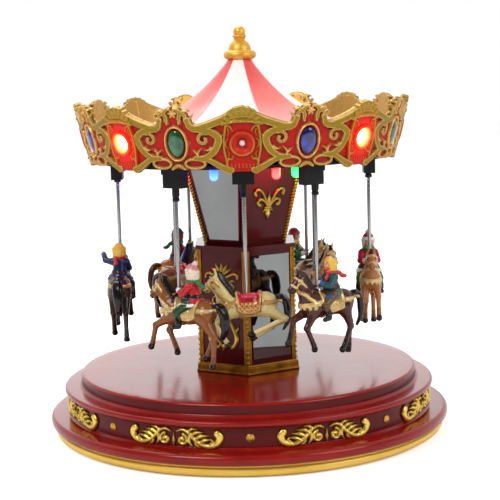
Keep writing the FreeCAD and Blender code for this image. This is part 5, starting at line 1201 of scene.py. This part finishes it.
def studTree():  # round-headed studs set on points, each facing away from the axis
    tree, given = newTree("band_studs", "Spots", ("Head", "Collar"), "Studs")
    spots = addNode(tree, "GeometryNodeMeshToPoints", links={"Mesh": given.outputs["Spots"]})
    ball = addNode(tree, "GeometryNodeMeshUVSphere", {"Segments": 20, "Rings": 12},
                   {"Radius": given.outputs["Head"]})
    cap = addNode(tree, "GeometryNodeTransform", {"Scale": (1, 1, 0.72)}, {"Geometry": ball.outputs[0]})
    collar = addNode(tree, "GeometryNodeMeshUVSphere", {"Segments": 20, "Rings": 8},
                     {"Radius": given.outputs["Collar"]})
    disc = addNode(tree, "GeometryNodeTransform", {"Scale": (1, 1, 0.28)}, {"Geometry": collar.outputs[0]})
    stud = addNode(tree, "GeometryNodeJoinGeometry")
    tree.links.new(cap.outputs[0], stud.inputs[0])
    tree.links.new(disc.outputs[0], stud.inputs[0])
    soft = addNode(tree, "GeometryNodeSetShadeSmooth", links={"Geometry": stud.outputs[0]})
    place = addNode(tree, "GeometryNodeInputPosition")
    level = addNode(tree, "ShaderNodeVectorMath", {"operation": "MULTIPLY", 1: (1, 1, 0)},
                    {0: place.outputs[0]})
    facing = addNode(tree, "FunctionNodeAlignRotationToVector", {"axis": "Z"}, {"Vector": level.outputs[0]})
    spread = addNode(tree, "GeometryNodeInstanceOnPoints",
                     links={"Points": spots.outputs[0], "Instance": soft.outputs[0],
                            "Rotation": facing.outputs[0]})
    return closeTree(tree, given, spread)


studSetup = {"reach": 112.7, "level": 20.9, "count": 8, "head": 1.75, "collar": 2.5}


def makeStuds(s):
    bearings = np.arange(s["count"]) * 360 / s["count"]
    spots = bpy.data.meshes.new("stud_spots")
    spots.from_pydata([tuple(onBearing(s["reach"], b, s["level"]) * mm) for b in bearings], [], [])
    inputs = {"Head": s["head"] * mm, "Collar": s["collar"] * mm, "Finish": giltPaint}
    treePiece("band_studs", studTree(), spots, inputs, "base")


makeStuds(studSetup)

sprigSetup = {"voxel": 0.3, "adaptivity": 0.2, "back": -0.2, "rise": 1.6, "mid": (29.1, 80.25),
              "waist": (23.73, 118.0), "flare": (35.16, 170.0), "tones": ("#7d5514", "#f0cb62")}


def makeSprigs(s):
    us = np.arange(-14, 14.1, s["voxel"])
    lowVs = np.arange(-29, 29.1, s["voxel"])
    lower = bothSides([
        stroke([(0.6, 20.5), (2.6, 24.0), (4.4, 27.0)], (0.8, 1.4, 0.3)),
        stroke([(0.9, 20.0), (4.4, 22.4), (7.4, 24.2)], (0.8, 1.3, 0.35)),
        stroke([(0.8, 18.6), (4.6, 19.2), (8.2, 20.8), (10.8, 20.2), (11.2, 18.2)],
               (0.9, 1.2, 1.2, 1.0, 1.3)),
        stroke([(0.8, 17.0), (4.0, 15.6), (7.2, 14.0), (8.4, 11.8), (7.0, 10.4)], (0.9, 1.2, 1.2, 1.0, 1.3)),
        stroke([(4.6, 15.4), (7.6, 16.6), (10.0, 15.8)], (0.8, 1.1, 0.3)),
        curl((4.4, 3.4), (3.6, 0.7), 140, -400, (0.8, 1.1, 1.0)),
        stroke([(1.0, 8.6), (4.2, 8.0), (6.6, 9.0)], (0.8, 1.1, 0.3)),
        stroke([(0.8, -1.6), (4.0, -7.0), (7.6, -13.5), (9.4, -19.4), (7.4, -24.2), (3.6, -25.2),
                (2.2, -22.6), (3.8, -21.2)], (0.9, 1.3, 1.6, 1.8, 1.7, 1.3, 1.0, 1.2)),
        stroke([(8.4, -15.6), (10.4, -13.4), (10.8, -10.6)], (0.9, 1.1, 0.3)),
        stroke([(0.6, -13.0), (2.4, -9.8), (2.2, -7.0)], (0.6, 1.0, 0.3))])
    lower += [stroke([(0, 19.6), (0, 23.6), (0, 28.0)], (1.0, 1.6, 0.3)),
              stroke([(0, 20), (0, 8), (0, 0)], (1.2, 0.9, 1.0)),
              stroke([(0, 5.0), (0, 5.1)], (2.3, 2.3), 2), stroke([(0, -24.4), (0, -28.0)], (1.8, 0.4), 4)]
    upVs = np.arange(-19, 21.1, s["voxel"])
    upper = bothSides([
        stroke([(0.6, -2.0), (2.2, 2.0), (5.0, 6.8), (8.2, 8.8), (10.2, 7.6), (9.6, 5.4)],
               (0.8, 1.0, 1.1, 1.1, 1.0, 1.3)),
        stroke([(0.6, -2.4), (2.6, 0.4), (5.2, 2.4), (7.6, 1.6), (7.4, -0.9), (5.9, -1.2)],
               (0.8, 1.0, 1.1, 1.0, 1.0, 1.3)),
        stroke([(0.8, -4.2), (2.8, -4.6), (3.8, -6.2)], (0.8, 0.9, 0.3))])
    upper += [stroke([(0, -2.0), (0, 2.5), (0, 7.0)], (0.8, 1.4, 0.3)),
              stroke([(0, -3.6), (0, -6.6), (0, -10.6)], (0.9, 2.1, 0.4)),
              stroke([(-1.9, -3.0), (1.9, -3.0)], (0.9, 0.9), 2)]
    for name, vs, strokes, first, nodes in (("lower", lowVs, lower, -30, ["panel_ornaments"]),
                                            ("upper", upVs, upper, 30, ())):
        gap = strokeField(us, vs, strokes)
        height = s["rise"] * np.sqrt(np.clip(-gap, 0, 1.6) / 1.6) + 0.25
        height = height - 0.22 * np.abs(np.sin(gap * 4.2)) * (gap < -0.25)
        points, faces = reliefSkin(us, vs, gap, height, s["back"], s["voxel"], s["adaptivity"])
        # painted highlight: the higher the relief, the lighter the gold; painted shade in the low parts by
        # the cavity attribute
        bright = np.clip((points[:, 2] - 0.4) / 1.2, 0, 1)
        tone = twoTone(*s["tones"], bright)
        if name == "lower":
            low, high = np.array(s["mid"]) - (0, 1), np.array(s["mid"]) + (0, 1)
        else:
            low, high = np.array(s["waist"]), np.array(s["flare"])
        run = (high - low) / np.linalg.norm(high - low)
        out = np.array((run[1], -run[0]))
        spot = (low + high) / 2
        parts = []
        for index in range(3):
            local = np.c_[spot[0] + run[0] * points[:, 1] + out[0] * points[:, 2], points[:, 0],
                          spot[1] + run[1] * points[:, 1] + out[1] * points[:, 2]]
            parts.append((local @ bearingFrame(first + 120 * index).T, faces))
        skin, rows = joined(parts)
        makePiece("column_sprigs_" + name, skin, rows, castGilt, "carousel", nodes,
                  attributes={"paint": np.tile(tone, (3, 1)), "gilt": np.ones(len(points) * 3),
                              "cavity": np.tile(0.5 * (1 - bright), 3)})


makeSprigs(sprigSetup)
print("ornaments made")

# Horse and rider in their own frame: x ahead, y away from the axis, z up from the horse's seat on its pole.
figureSetup = {"voxel": 0.38, "low": (-31.0, -11.6, -37.5), "high": (31.0, 11.6, 29.0), "body": 1.7,
               "fine": 0.5, "hard": 0.12, "adaptivity": 0.06}


def capsule(a, b, ra, rb):  # tapered rod with round ends
    a, b = np.array(a, float), np.array(b, float)
    span = b - a
    square = span @ span + 1e-9

    def gap(spots, skin):
        t = np.clip(((spots - a) @ span) / square, 0, 1)
        return np.linalg.norm(spots - a - t[:, None] * span, axis=1) - (ra + (rb - ra) * t)
    return gap, np.minimum(a - ra, b - rb), np.maximum(a + ra, b + rb)


def egg(centre, radii):
    centre = np.array(centre, float)
    radii = np.array(radii, float) * np.ones(3)

    def gap(spots, skin):
        q = (spots - centre) / radii
        k0 = np.linalg.norm(q, axis=1)
        return k0 * (k0 - 1) / (np.linalg.norm(q / radii, axis=1) + 1e-9)
    return gap, centre - radii, centre + radii


def ringTube(centre, radius, tube):  # level ring
    centre = np.array(centre, float)

    def gap(spots, skin):
        q = spots - centre
        return np.hypot(np.hypot(q[:, 0], q[:, 1]) - radius, q[:, 2]) - tube
    reach = np.array((radius + tube, radius + tube, tube))
    return gap, centre - reach, centre + reach


def trimmed(shape, rule):  # shape kept where the rule is negative
    inner, low, high = shape
    return (lambda spots, skin: np.maximum(inner(spots, skin), rule(*spots.T))), low, high


def shrunk(shape, about, share):  # the same shape, smaller about a point
    inner, low, high = shape
    about = np.array(about, float)
    return ((lambda spots, skin: inner(about + (spots - about) / share, skin) * share),
            about + (low - about) * share, about + (high - about) * share)


def overlay(raised, rule, low, high):  # band laid on the skin below it where the rule is negative
    def gap(spots, skin):
        return np.maximum(skin - raised, rule(*spots.T))
    return gap, np.array(low, float), np.array(high, float)


def carve(parts, s):  # parts: (shape, tone, gilt, blend, laid on the skin) to a painted skin
    axes = [np.arange(a, b, s["voxel"]) for a, b in zip(s["low"], s["high"])]
    field = np.full([len(axis) for axis in axes], 8.0, np.float32)
    skin = None
    for (gap, low, high), tone, gilt, blend, laid in parts:
        if laid and skin is None:
            skin = field.copy()
        pad = blend + 1.1
        cut = tuple(slice(*np.searchsorted(axis, (a - pad, b + pad))) for axis, a, b in zip(axes, low, high))
        block = np.meshgrid(*[axis[c] for axis, c in zip(axes, cut)], indexing="ij")
        spots = np.stack(block, -1).reshape(-1, 3)
        here = field[cut].ravel()
        value = gap(spots, skin[cut].ravel() if laid else None)
        mix = np.clip(0.5 + 0.5 * (here - value) / blend, 0, 1)
        field[cut] = (here + (value - here) * mix - blend * mix * (1 - mix)).reshape(field[cut].shape)
    skin = field if skin is None else skin
    points, faces = levelSet(field, s["low"], s["voxel"], s["adaptivity"])
    faces = outwardFaces(points, faces)
    under = sampledBox(skin, points, s)
    best = np.full(len(points), 9.0)
    paint = np.zeros((len(points), 3))
    metal = np.zeros(len(points))
    for (gap, low, high), tone, gilt, blend, laid in parts:
        near = np.all((points > low - 0.8) & (points < high + 0.8), axis=1).nonzero()[0]
        if len(near) == 0:
            continue
        value = gap(points[near], under[near])
        wins = near[value < best[near]]
        best[near] = np.minimum(best[near], value)
        paint[wins] = rgb(tone)
        metal[wins] = gilt
    # painted shade and a dark wash in the hollows, as the cavity attribute
    hollow = np.clip(-sampledBox(blurred(field.astype(float), 3), points, s) / 0.5, 0, 0.85)
    return points, faces, {"paint": paint, "gilt": metal, "cavity": hollow}


def sampledBox(values, points, s):
    place = np.clip((points - np.array(s["low"])) / s["voxel"], 0, np.array(values.shape) - 1.001)
    i = place.astype(int)
    f = place - i
    total = 0
    for dx in (0, 1):
        for dy in (0, 1):
            for dz in (0, 1):
                weight = np.abs(1 - dx - f[:, 0]) * np.abs(1 - dy - f[:, 1]) * np.abs(1 - dz - f[:, 2])
                total = total + weight * values[i[:, 0] + dx, i[:, 1] + dy, i[:, 2] + dz]
    return total


# Legs: hip, knee and foot, and whether it is a foreleg.
prancing = ((((11, 3.4, -9), (20.5, 3.8, -14), (23.2, 3.8, -24.6)), True),
            (((10.5, -3.4, -9), (16, -3.8, -18), (11.5, -3.8, -28.5)), True),
            (((-11.5, 3.6, -8), (-19.5, 4, -19), (-18.5, 4, -33.5)), False),
            (((-10.5, -3.6, -8), (-14.5, -4, -20), (-10, -4, -31)), False))
galloping = ((((11, 3.4, -9), (19.5, 3.8, -15), (12.5, 3.8, -27)), True),
             (((10.5, -3.4, -9), (20.5, -3.8, -17), (15, -3.8, -25.5)), True),
             (((-11.5, 3.6, -7), (-22.5, 4, -13.5), (-5, 4, -21.5)), False),
             (((-10.5, -3.6, -7), (-20, -4, -16.5), (-6, -4, -25)), False))


def horseParts(look, ridden, s):
    parts = []

    def add(shape, tone, blend=s["body"], gilt=0.0, laid=False):
        parts.append((shape, tone, gilt, blend, laid))
    coat, mane, hoof, cloth, tack = look["coat"], look["mane"], look["hoof"], look["cloth"], look["tack"]
    fine, hard = s["fine"], s["hard"]
    add(egg((9.0, 0, -5.8), (8.4, 6.3, 7.5)), coat)
    add(egg((-11.0, 0, -4.9), (7.8, 6.5, 7.3)), coat)
    add(capsule((7, 0, -7.2), (-8, 0, -6.6), 5.9, 5.9), coat)
    add(capsule((9, 0, -2.4), (2, 0, -3.2), 4.4, 3.8), coat)
    add(capsule((11.8, 0, -3.8), (17.2, 0, 8.4), 5.6, 3.3), coat)
    add(capsule((8.0, 0, 0.5), (15.4, 0, 11.8), 2.5, 2.3), coat)
    add(capsule((17.6, 0, 10.4), (23.3, 0, 4.9), 3.2, 1.9), coat, 1.0)
    add(capsule((19.4, 0, 10.8), (23.9, 0, 6.2), 1.6, 1.1), coat, 0.8)
    add(egg((24.0, 0, 4.6), (1.9, 1.8, 1.8)), coat, 0.8)
    add(egg((22.7, 0, 3.3), (1.5, 1.1, 0.9)), coat, 0.6)
    for side in (1, -1):
        add(egg((18.7, 1.5 * side, 7.9), (2.7, 1.6, 2.8)), coat, 0.8)
        add(egg((19.5, 2.1 * side, 10.5), (1.5, 0.8, 0.7)), coat, fine)
        add(capsule((17.5, 1.5 * side, 12.8), (18.5, 1.9 * side, 16.6), 1.15, 0.4), coat, fine)
        add(egg((20.1, 2.65 * side, 9.5), (0.85, 0.7, 0.8)), "#120d0a", hard)
        # painted highlight: a white glint dot on each eye
        add(egg((20.5, 3.2 * side, 9.9), (0.3, 0.25, 0.3)), "#f4efe4", hard)
        add(egg((25.2, 1.2 * side, 5.0), (0.55, 0.5, 0.6)), "#241109", hard)
        add(capsule((22.6, 1.75 * side, 3.95), (24.8, 1.4 * side, 3.7), 0.24, 0.2), "#2d150c", hard)
    for bones, fore in look["gait"]:
        hip, knee, foot = (np.array(point) * (1, look["flip"], 1) for point in bones)
        along = (foot - knee) / np.linalg.norm(foot - knee)
        add(egg(hip + (0, 0, 0.6), (4.0, 2.9, 5.0) if fore else (5.4, 3.3, 6.0)), coat)
        add(capsule(hip, knee, 3.1 if fore else 3.9, 1.85), coat, 1.2)
        add(capsule(knee, foot, 1.7, 1.25), coat, 0.7)
        add(egg(knee, (2.05, 1.9, 2.1)), coat, 0.7)
        add(egg(foot, (1.65, 1.55, 1.6)), look["sock"], 0.6)
        add(capsule(foot - along * 3.4, foot, 1.42, 1.42), look["sock"], fine)
        add(capsule(foot + along * 0.9, foot + along * 2.7 + (0.5, 0, 0), 1.55, 2.0), hoof, hard)
    add(capsule((7.0, 0, 1.6), (15.6, 0, 13.4), 1.7, 1.9), mane, fine)
    for share in np.linspace(0, 1, 8):
        root = np.array((8.0, 0, 2.8)) * (1 - share) + np.array((16.6, 0, 14.0)) * share
        for side in (1, -1):
            tip = root + (-1.9 + 0.5 * share, side * (4.0 - 1.2 * share), -3.9 + 0.8 * share)
            add(capsule(root + (0, side * 0.9, 0), tip, 1.45, 0.55), mane, 0.35)
    add(capsule((17.2, 0, 14.2), (20.9, 0.5, 11.7), 1.35, 0.6), mane, fine)
    add(capsule((17.4, 0, 13.8), (20.2, -1.2, 11.9), 1.1, 0.5), mane, fine)
    tail = smoothLine([(-16.8, 0, -1.8), (-20.4, 0, -1.0), (-23.6, 0, -4.4), (-24.6, 0, -10.5),
                       (-24.2, 0, -16.0), (-21.6, 0, -21.0)], 4)
    girth = np.interp(np.linspace(0, 1, len(tail)), (0, 0.25, 0.6, 1), (1.7, 2.3, 2.5, 0.5))
    for lane in (-1, 0, 1):
        sway = np.sin(np.linspace(0, 5, len(tail)) + lane) * 0.5
        for i in range(len(tail) - 1):
            a = tail[i] + (lane * 0.5 * (i > 3), lane * 1.3 * min(1, i / 6) + sway[i], 0)
            b = tail[i + 1] + (lane * 0.5 * (i > 2), lane * 1.3 * min(1, (i + 1) / 6) + sway[i + 1], 0)
            add(capsule(a, b, girth[i] * 0.8, girth[i + 1] * 0.8), mane, 0.4)

    def blanket(x, y, z):
        return np.maximum(np.abs(x + 1.2) - 7.6 - 0.12 * z, -10.2 - z + 0.05 * (x + 1.2) ** 2)

    def lattice(x, y, z):
        lines = np.minimum(np.abs((x + z) / 2.6 % 1 - 0.5), np.abs((x - z) / 2.6 % 1 - 0.5)) * 1.8 - 0.3
        return np.maximum(np.maximum(blanket(x, y, z) + 1.3, lines), z + 3.2)

    def hem(x, y, z):
        return np.maximum(blanket(x, y, z), -blanket(x, y, z) - 1.1)
    zone = ((-11.5, -8.5, -12), (9.5, 8.5, 2.5))
    add(overlay(0.6, blanket, *zone), cloth, hard, 0.0, True)
    add(overlay(0.8, lattice, *zone), tack, hard, 0.8, True)
    add(overlay(0.95, hem, *zone), tack, hard, 0.85, True)
    straps = ((0.65, 0.6, (1.5, -8, -15), (5.5, 8, -8),  # girth
               lambda x, y, z: np.maximum(np.abs(x - 3.4) - 0.85, z + 9.0)),
              (0.75, 0.85, (5.5, -8, -9), (19, 8, 1),  # breast strap
               lambda x, y, z: np.maximum(np.abs(z + 3.6 + 0.16 * (x - 9)) - 1.15, 6.2 - x)),
              (0.6, 0.7, (7, -7, -4), (19, 7, 5),  # collar
               lambda x, y, z: np.maximum(np.abs(x * 0.62 - z * 0.78 - 9.2) - 0.8, z - 4.0)),
              (0.65, 0.8, (-20.5, -8, -5), (-8.5, 8, -1),  # breeching
               lambda x, y, z: np.maximum(np.abs(z + 3.2) - 0.85, x + 9.2)),
              (0.45, 0.7, (19.5, -3.2, 3.0), (24.5, 3.2, 9.5),  # noseband
               lambda x, y, z: np.abs((x - 22.0) * 0.70 - (z - 6.2) * 0.71) - 0.5),
              (0.45, 0.7, (16.2, -4, 6.5), (21.5, 4, 13),  # brow band
               lambda x, y, z: np.abs((x - 18.9) * 0.70 - (z - 9.6) * 0.71) - 0.5))
    for raised, gilt, low, high, rule in straps:
        add(overlay(raised, rule, low, high), tack, hard, gilt, True)
    for turn in np.radians((-75, -50, -25, 0, 25, 50, 75)):
        spot = (9.0 + 8.6 * math.cos(turn), 6.6 * math.sin(turn), -5.2 - 1.2 * math.cos(turn))
        add(egg(spot, (0.95, 0.95, 1.3)), tack, hard, 0.85)
    for side in (1, -1):
        add(capsule((21.4, 2.4 * side, 6.6), (18.9, 3.1 * side, 10.0), 0.42, 0.42), tack, hard, 0.7)
        add(egg((18.9, 3.1 * side, 10.2), 0.75), tack, hard, 0.85)
        add(egg((21.7, 2.25 * side, 6.2), 0.65), tack, hard, 0.85)
        add(capsule((21.9, 2.2 * side, 5.8), (14.8, 4.5 * side, 1.4), 0.42, 0.42), look["rein"], hard)
        held = (6.4, 1.6 * side, 5.9) if ridden else (4.6, 1.0 * side, 2.2)
        add(capsule((14.8, 4.5 * side, 1.4), held, 0.42, 0.42), look["rein"], hard)
    saddle = look["saddle"]
    add(egg((-1.6, 0, 0.0), (6.2, 4.9, 1.9)), saddle, fine)
    if ridden:
        add(capsule((2.9, -1.4, 1.1), (2.9, 1.4, 1.1), 1.2, 1.2), saddle, fine)
    else:
        add(capsule((4.8, -1.3, 1.0), (4.8, 1.3, 1.0), 1.4, 1.4), saddle, fine)
        add(capsule((4.9, -1.5, 2.2), (4.9, 1.5, 2.2), 0.5, 0.5), tack, hard, 0.85)
        add(capsule((-7.7, -2.7, 2.7), (-7.7, 2.7, 2.7), 0.5, 0.5), tack, hard, 0.85)
    add(capsule((-7.6, -2.6, 1.4), (-7.6, 2.6, 1.4), 1.4, 1.4), saddle, fine)
    return parts


def riderParts(look, s):
    parts = []

    def add(shape, tone, blend=1.0, gilt=0.0, laid=False):
        parts.append((shape, tone, gilt, blend, laid))
    coat, trim, legs, skin = look["jacket"], look["trim"], look["legs"], "#dba581"
    fine, hard = s["fine"], s["hard"]
    add(capsule((-4.4, 0, 2.6), (-3.7, 0, 10.2), 4.5, 3.6), coat)
    add(capsule((-3.7, -3.3, 10.6), (-3.7, 3.3, 10.6), 2.3, 2.3), coat)
    add(egg((-4.4, 0, 1.4), (5.9, 6.0, 3.0)), coat)
    for side in (1, -1):
        if look.get("wave") == side:
            elbow, hand = np.array((-2.4, 8.6 * side, 11.2)), np.array((-0.6, 10.0 * side, 15.4))
        else:
            elbow, hand = np.array((0.6, 5.6 * side, 5.6)), np.array((5.4, 1.7 * side, 6.9 + 0.8 * side))
        shoulder = np.array((-3.6, 4.3 * side, 10.2))
        add(capsule(shoulder, elbow, 2.25, 1.85), coat)
        add(capsule(elbow, elbow * 0.25 + hand * 0.75, 1.85, 1.55), coat, 0.6)
        add(capsule(elbow * 0.35 + hand * 0.65, elbow * 0.2 + hand * 0.8, 1.75, 1.75), trim, hard)
        add(egg(hand, (1.45, 1.3, 1.45)), look.get("glove", skin), hard)
        knee, ankle = np.array((4.4, 6.4 * side, -5.0)), np.array((2.5, 7.0 * side, -11.6))
        add(capsule((-3.0, 4.2 * side, 0.2), knee, 3.1, 2.35), legs)
        add(capsule(knee, ankle, 2.2, 1.7), legs, 0.6)
        add(capsule(knee * 0.35 + ankle * 0.65, ankle, 2.15, 1.95), look["boots"], hard)
        add(capsule(ankle + (0, 0, -1.4), ankle + (3.4, 0.5 * side, -2.0), 1.65, 1.35), look["boots"], fine)
    add(capsule((-3.6, 0, 11.6), (-3.1, 0, 15.0), 2.1, 2.1), skin, fine)
    head, body = np.array((-2.7, 0, 18.2)), len(parts)
    add(egg(head, (3.9, 3.7, 4.3)), skin, fine)
    add(egg(head + (0.6, 0, -2.2), (2.9, 2.8, 2.3)), skin, 0.8)
    add(egg(head + (3.9, 0, -0.5), (0.75, 0.6, 0.65)), skin, fine)
    for side in (1, -1):
        add(egg(head + (2.75, 2.0 * side, -1.5), (0.95, 1.0, 0.85)), "#cf7c66", hard)
        add(egg(head + (3.35, 1.4 * side, 0.55), (0.55, 0.5, 0.55)), "#22150f", hard)
        brow = capsule(head + (3.3, 0.8 * side, 1.6), head + (2.85, 2.1 * side, 1.5), 0.26, 0.22)
        add(brow, "#5a3a22", hard)
        add(egg(head + (0.0, 3.7 * side, -0.4), (0.8, 0.55, 1.1)), skin, hard)
        add(capsule(head + (3.2, 0, -2.35), head + (3.0, 0.85 * side, -2.15), 0.3, 0.2), "#a8362f", hard)

    def browLine(x, y, z):
        return x + 1.5 - 0.55 * (z - 18.2) - 0.14 * np.abs(y)
    hair = look["hair"]
    add(trimmed(egg(head + (-0.5, 0, 0.7), (4.5, 4.3, 4.5)), browLine), hair, hard)
    for turn in np.radians((60, 85, 110, 135, 160, 180, 200, 225, 250, 275, 300)):
        root = head + (4.1 * math.cos(turn) - 0.6, 4.1 * math.sin(turn), 1.0)
        add(capsule(root, root + (-0.5, 0, -4.6), 1.3, 0.75), hair, 0.35)
    if look["hat"] == "none":
        for turn in np.radians((-50, -25, 0, 25, 50)):
            root = head + (0.5, 2.4 * math.sin(turn), 4.0)
            tip = root + (2.4 * math.cos(turn), 1.6 * math.sin(turn), -2.0)
            add(capsule(root, tip, 1.1, 0.55), hair, 0.35)
    else:
        crown = egg(head + (-0.9, 0, 2.2), (4.5, 4.4, 4.5))
        add(trimmed(crown, lambda x, y, z: 20.3 - z), look["hatTone"], hard)
        add(ringTube(head + (-0.4, 0, 2.2), 3.75, 1.15), look["brim"], hard)
        if look["hat"] == "pompom":
            for shift in ((0, 0, 0), (0.8, 0.5, 0.4), (-0.8, 0.4, 0.3), (0, -0.9, 0.2), (0.1, 0.2, 1.0)):
                add(egg(head + (-3.6, 0, 6.4) + np.array(shift), 1.35), look["brim"], 0.2)
    parts[body:] = [(shrunk(part[0], (-3.1, 0, 14.2), 0.84),) + part[1:] for part in parts[body:]]
    scarf = look["scarf"]
    add(ringTube((-3.4, 0, 13.2), 2.6, 1.35), scarf, hard)
    add(ringTube((-3.3, 0, 14.6), 2.3, 1.1), scarf, 0.3)
    ends = smoothLine([(-5.6, 1.2, 13.4), (-8.4, 1.9, 12.2), (-10.6, 1.4, 10.4), (-12.4, 2.0, 10.0)], 4)
    for a, b in zip(ends[:-1], ends[1:]):
        add(capsule(a, b, 1.15, 1.15), scarf, 0.4)
    add(capsule((-1.2, 1.0, 12.6), (0.6, 1.6, 8.8), 1.05, 1.0), scarf, 0.4)

    def belt(x, y, z):
        return np.maximum(np.abs(z - 4.6) - 0.75, np.abs(y) - 5.4)

    def hem(x, y, z):
        return np.maximum(np.abs(z + 0.4 - 0.05 * x) - 0.85, x - 4.0)
    add(overlay(0.5, belt, (-10, -6, 3.4), (2.5, 6, 5.8)), look["belt"], hard, 0.0, True)
    add(overlay(0.6, hem, (-11.5, -7, -2.2), (3.0, 7, 1.2)), trim, hard, 0.0, True)
    add(egg((0.55, 0, 4.6), (0.5, 1.1, 1.0)), "#d9b455", hard, 0.9)
    for level, reach in ((6.4, 0.42), (8.2, 0.3), (10.0, 0.2)):
        add(egg((reach, 0.0, level), 0.55), "#d9b455", hard, 0.9)
    return parts


bay = {"coat": "#80491f", "mane": "#15110f", "hoof": "#17110d", "sock": "#6c3918"}
dark = {"coat": "#442219", "mane": "#1c120e", "hoof": "#120d0a", "sock": "#2a1610"}
black = {"coat": "#33251f", "mane": "#0f0c0b", "hoof": "#0f0c0b", "sock": "#241a16"}
cream = {"coat": "#d0bb7c", "mane": "#181412", "hoof": "#191410", "sock": "#d3c288"}
tan = {"coat": "#a86a38", "mane": "#4a2713", "hoof": "#24160d", "sock": "#8a5429"}
greens = {"cloth": "#2a5a34", "saddle": "#1d3d24", "tack": "#c79c45", "rein": "#8a5a2c"}
reds = {"cloth": "#a5222a", "saddle": "#d23c52", "tack": "#c9a25a", "rein": "#b98d4a"}
golds = {"cloth": "#b18d4e", "saddle": "#5b2a1a", "tack": "#d6b678", "rein": "#8a5a2c"}
scarlet = {"jacket": "#b3202a", "trim": "#e9e2d8", "legs": "#1d4426", "boots": "#14110f", "hair": "#d9c7b0",
           "hat": "pompom", "hatTone": "#c0777a", "brim": "#d8b9b2", "scarf": "#23703a", "belt": "#1a1412"}
blond = {"jacket": "#1c4a4d", "trim": "#24508a", "legs": "#5a4326", "boots": "#12100f", "hair": "#e0b040",
         "hat": "none", "scarf": "#bf2d26", "belt": "#3a2416"}
navy = {"jacket": "#1e2a52", "trim": "#39507e", "legs": "#2a2233", "boots": "#100e0e", "hair": "#d8a83c",
        "hat": "none", "scarf": "#b3222a", "belt": "#2a1a14", "wave": 1}
capped = {"jacket": "#6e2030", "trim": "#d8d0c8", "legs": "#26304f", "boots": "#14110f", "hair": "#6a4426",
          "hat": "cap", "hatTone": "#1c2450", "brim": "#27336b", "scarf": "#2d6a3c", "belt": "#20160f"}
redcap = {"jacket": "#b2242a", "trim": "#ece6dc", "legs": "#225b2c", "boots": "#1a1512", "hair": "#e6d9c2",
          "hat": "pompom", "hatTone": "#b0262c", "brim": "#efe9e0", "scarf": "#2b7a40", "belt": "#241812"}
pine = {"jacket": "#275a3a", "trim": "#dcd6c6", "legs": "#51351f", "boots": "#15110f", "hair": "#8a5a2a",
        "hat": "cap", "hatTone": "#7d1f2b", "brim": "#a83040", "scarf": "#d2b35a", "belt": "#20160f"}
cast = ((tan, greens, capped, 1), (black, reds, navy, -1), (bay, golds, scarlet, 1), (dark, golds, blond, -1),
        (tan, golds, redcap, 1), (cream, greens, pine, -1), (cream, reds, None, 1), (cream, golds, None, -1),
        (bay, reds, None, 1))


def makeFigures(s):
    for index, (breed, tack, rider, flip) in enumerate(cast):
        spot, turn = poleAxis(index)
        seat = spot[2] - poleSetup["drop"] - poleSetup["seat"]
        ahead = 6.0 if rider else 0.0
        look = {**breed, **tack, "gait": prancing if rider else galloping, "flip": flip}
        name = "horse_%d" % (index + 1)
        jobs = [(name + "_casting", horseParts(look, bool(rider), s), [name])]
        if rider:
            jobs.append((name + "_rider", riderParts(rider, s), ()))
        for title, parts, nodes in jobs:
            points, faces, paint = carve(parts, s)
            local = np.c_[points[:, 1], ahead - points[:, 0], points[:, 2]]
            place = np.array((spot[0], spot[1], seat))
            skin = local @ turn.T + place
            makePiece(title, skin, faces, resinPaint, name, nodes, attributes=paint)
    print("figures carved:", len(cast), "horses")


makeFigures(figureSetup)

springSetup = {"axis": (0.0, 36.0), "thick": 0.45, "inner": 2.95, "turns": 5, "steps": 64}


def makeSpring(s):  # wound strip from the arbor to the barrel wall
    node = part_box("mainspring")
    low, high = np.array(node[0]) / mm, np.array(node[1]) / mm
    outer = min(high[0] - low[0], high[1] - low[1]) / 2 - s["thick"]
    count = s["turns"] * s["steps"] + 1
    turn = np.linspace(0, s["turns"] * 2 * math.pi, count)
    reach = np.linspace(s["inner"], outer, count)
    points = []
    for side, level in ((0, low[2]), (1, low[2]), (1, high[2]), (0, high[2])):
        r = reach + s["thick"] * side
        points.append(np.c_[s["axis"][0] + r * np.cos(turn), s["axis"][1] + r * np.sin(turn),
                            np.full(count, level)])
    points = np.concatenate(points)
    faces = []
    for edge in range(4):
        after = (edge + 1) % 4
        faces += [(edge * count + i, after * count + i, after * count + i + 1, edge * count + i + 1)
                  for i in range(count - 1)]
    faces += [(3 * count, 2 * count, count, 0), tuple((k + 1) * count - 1 for k in range(4))]
    faces = outwardFaces(points, faces)
    strip = makePiece("mainspring_strip", points, faces, springSteel, "barrel", ["mainspring"])
    sharpEdges(strip, 40)


makeSpring(springSetup)

nodeFinishes = {"base_plate": zinc, "screws": zinc, "center_post": zinc, "comb": zinc, "winding_arbor": zinc,
                "batteries": cellCan, "movement_bedplate": brass, "pinned_cylinder": brass,
                "spring_barrel": brass, "winding_key": brass, "drive_tube": brass, "crown_wheel": acetal,
                "governor": acetal, "column_lower": maroonPanel, "column_upper": maroonPanel,
                "column_mirrors": mirror, "ceiling_plate": blackAbs, "pole_sleeves": blackAbs,
                "switch_slider": blackAbs}
nodeFinishes.update({"crank_%d" % (k + 1): acetal for k in range(9)})
for node, finish in nodeFinishes.items():
    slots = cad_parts[node].data.materials
    slots.clear()
    slots.append(finish)
print("finishes set on", len(nodeFinishes), "nodes")
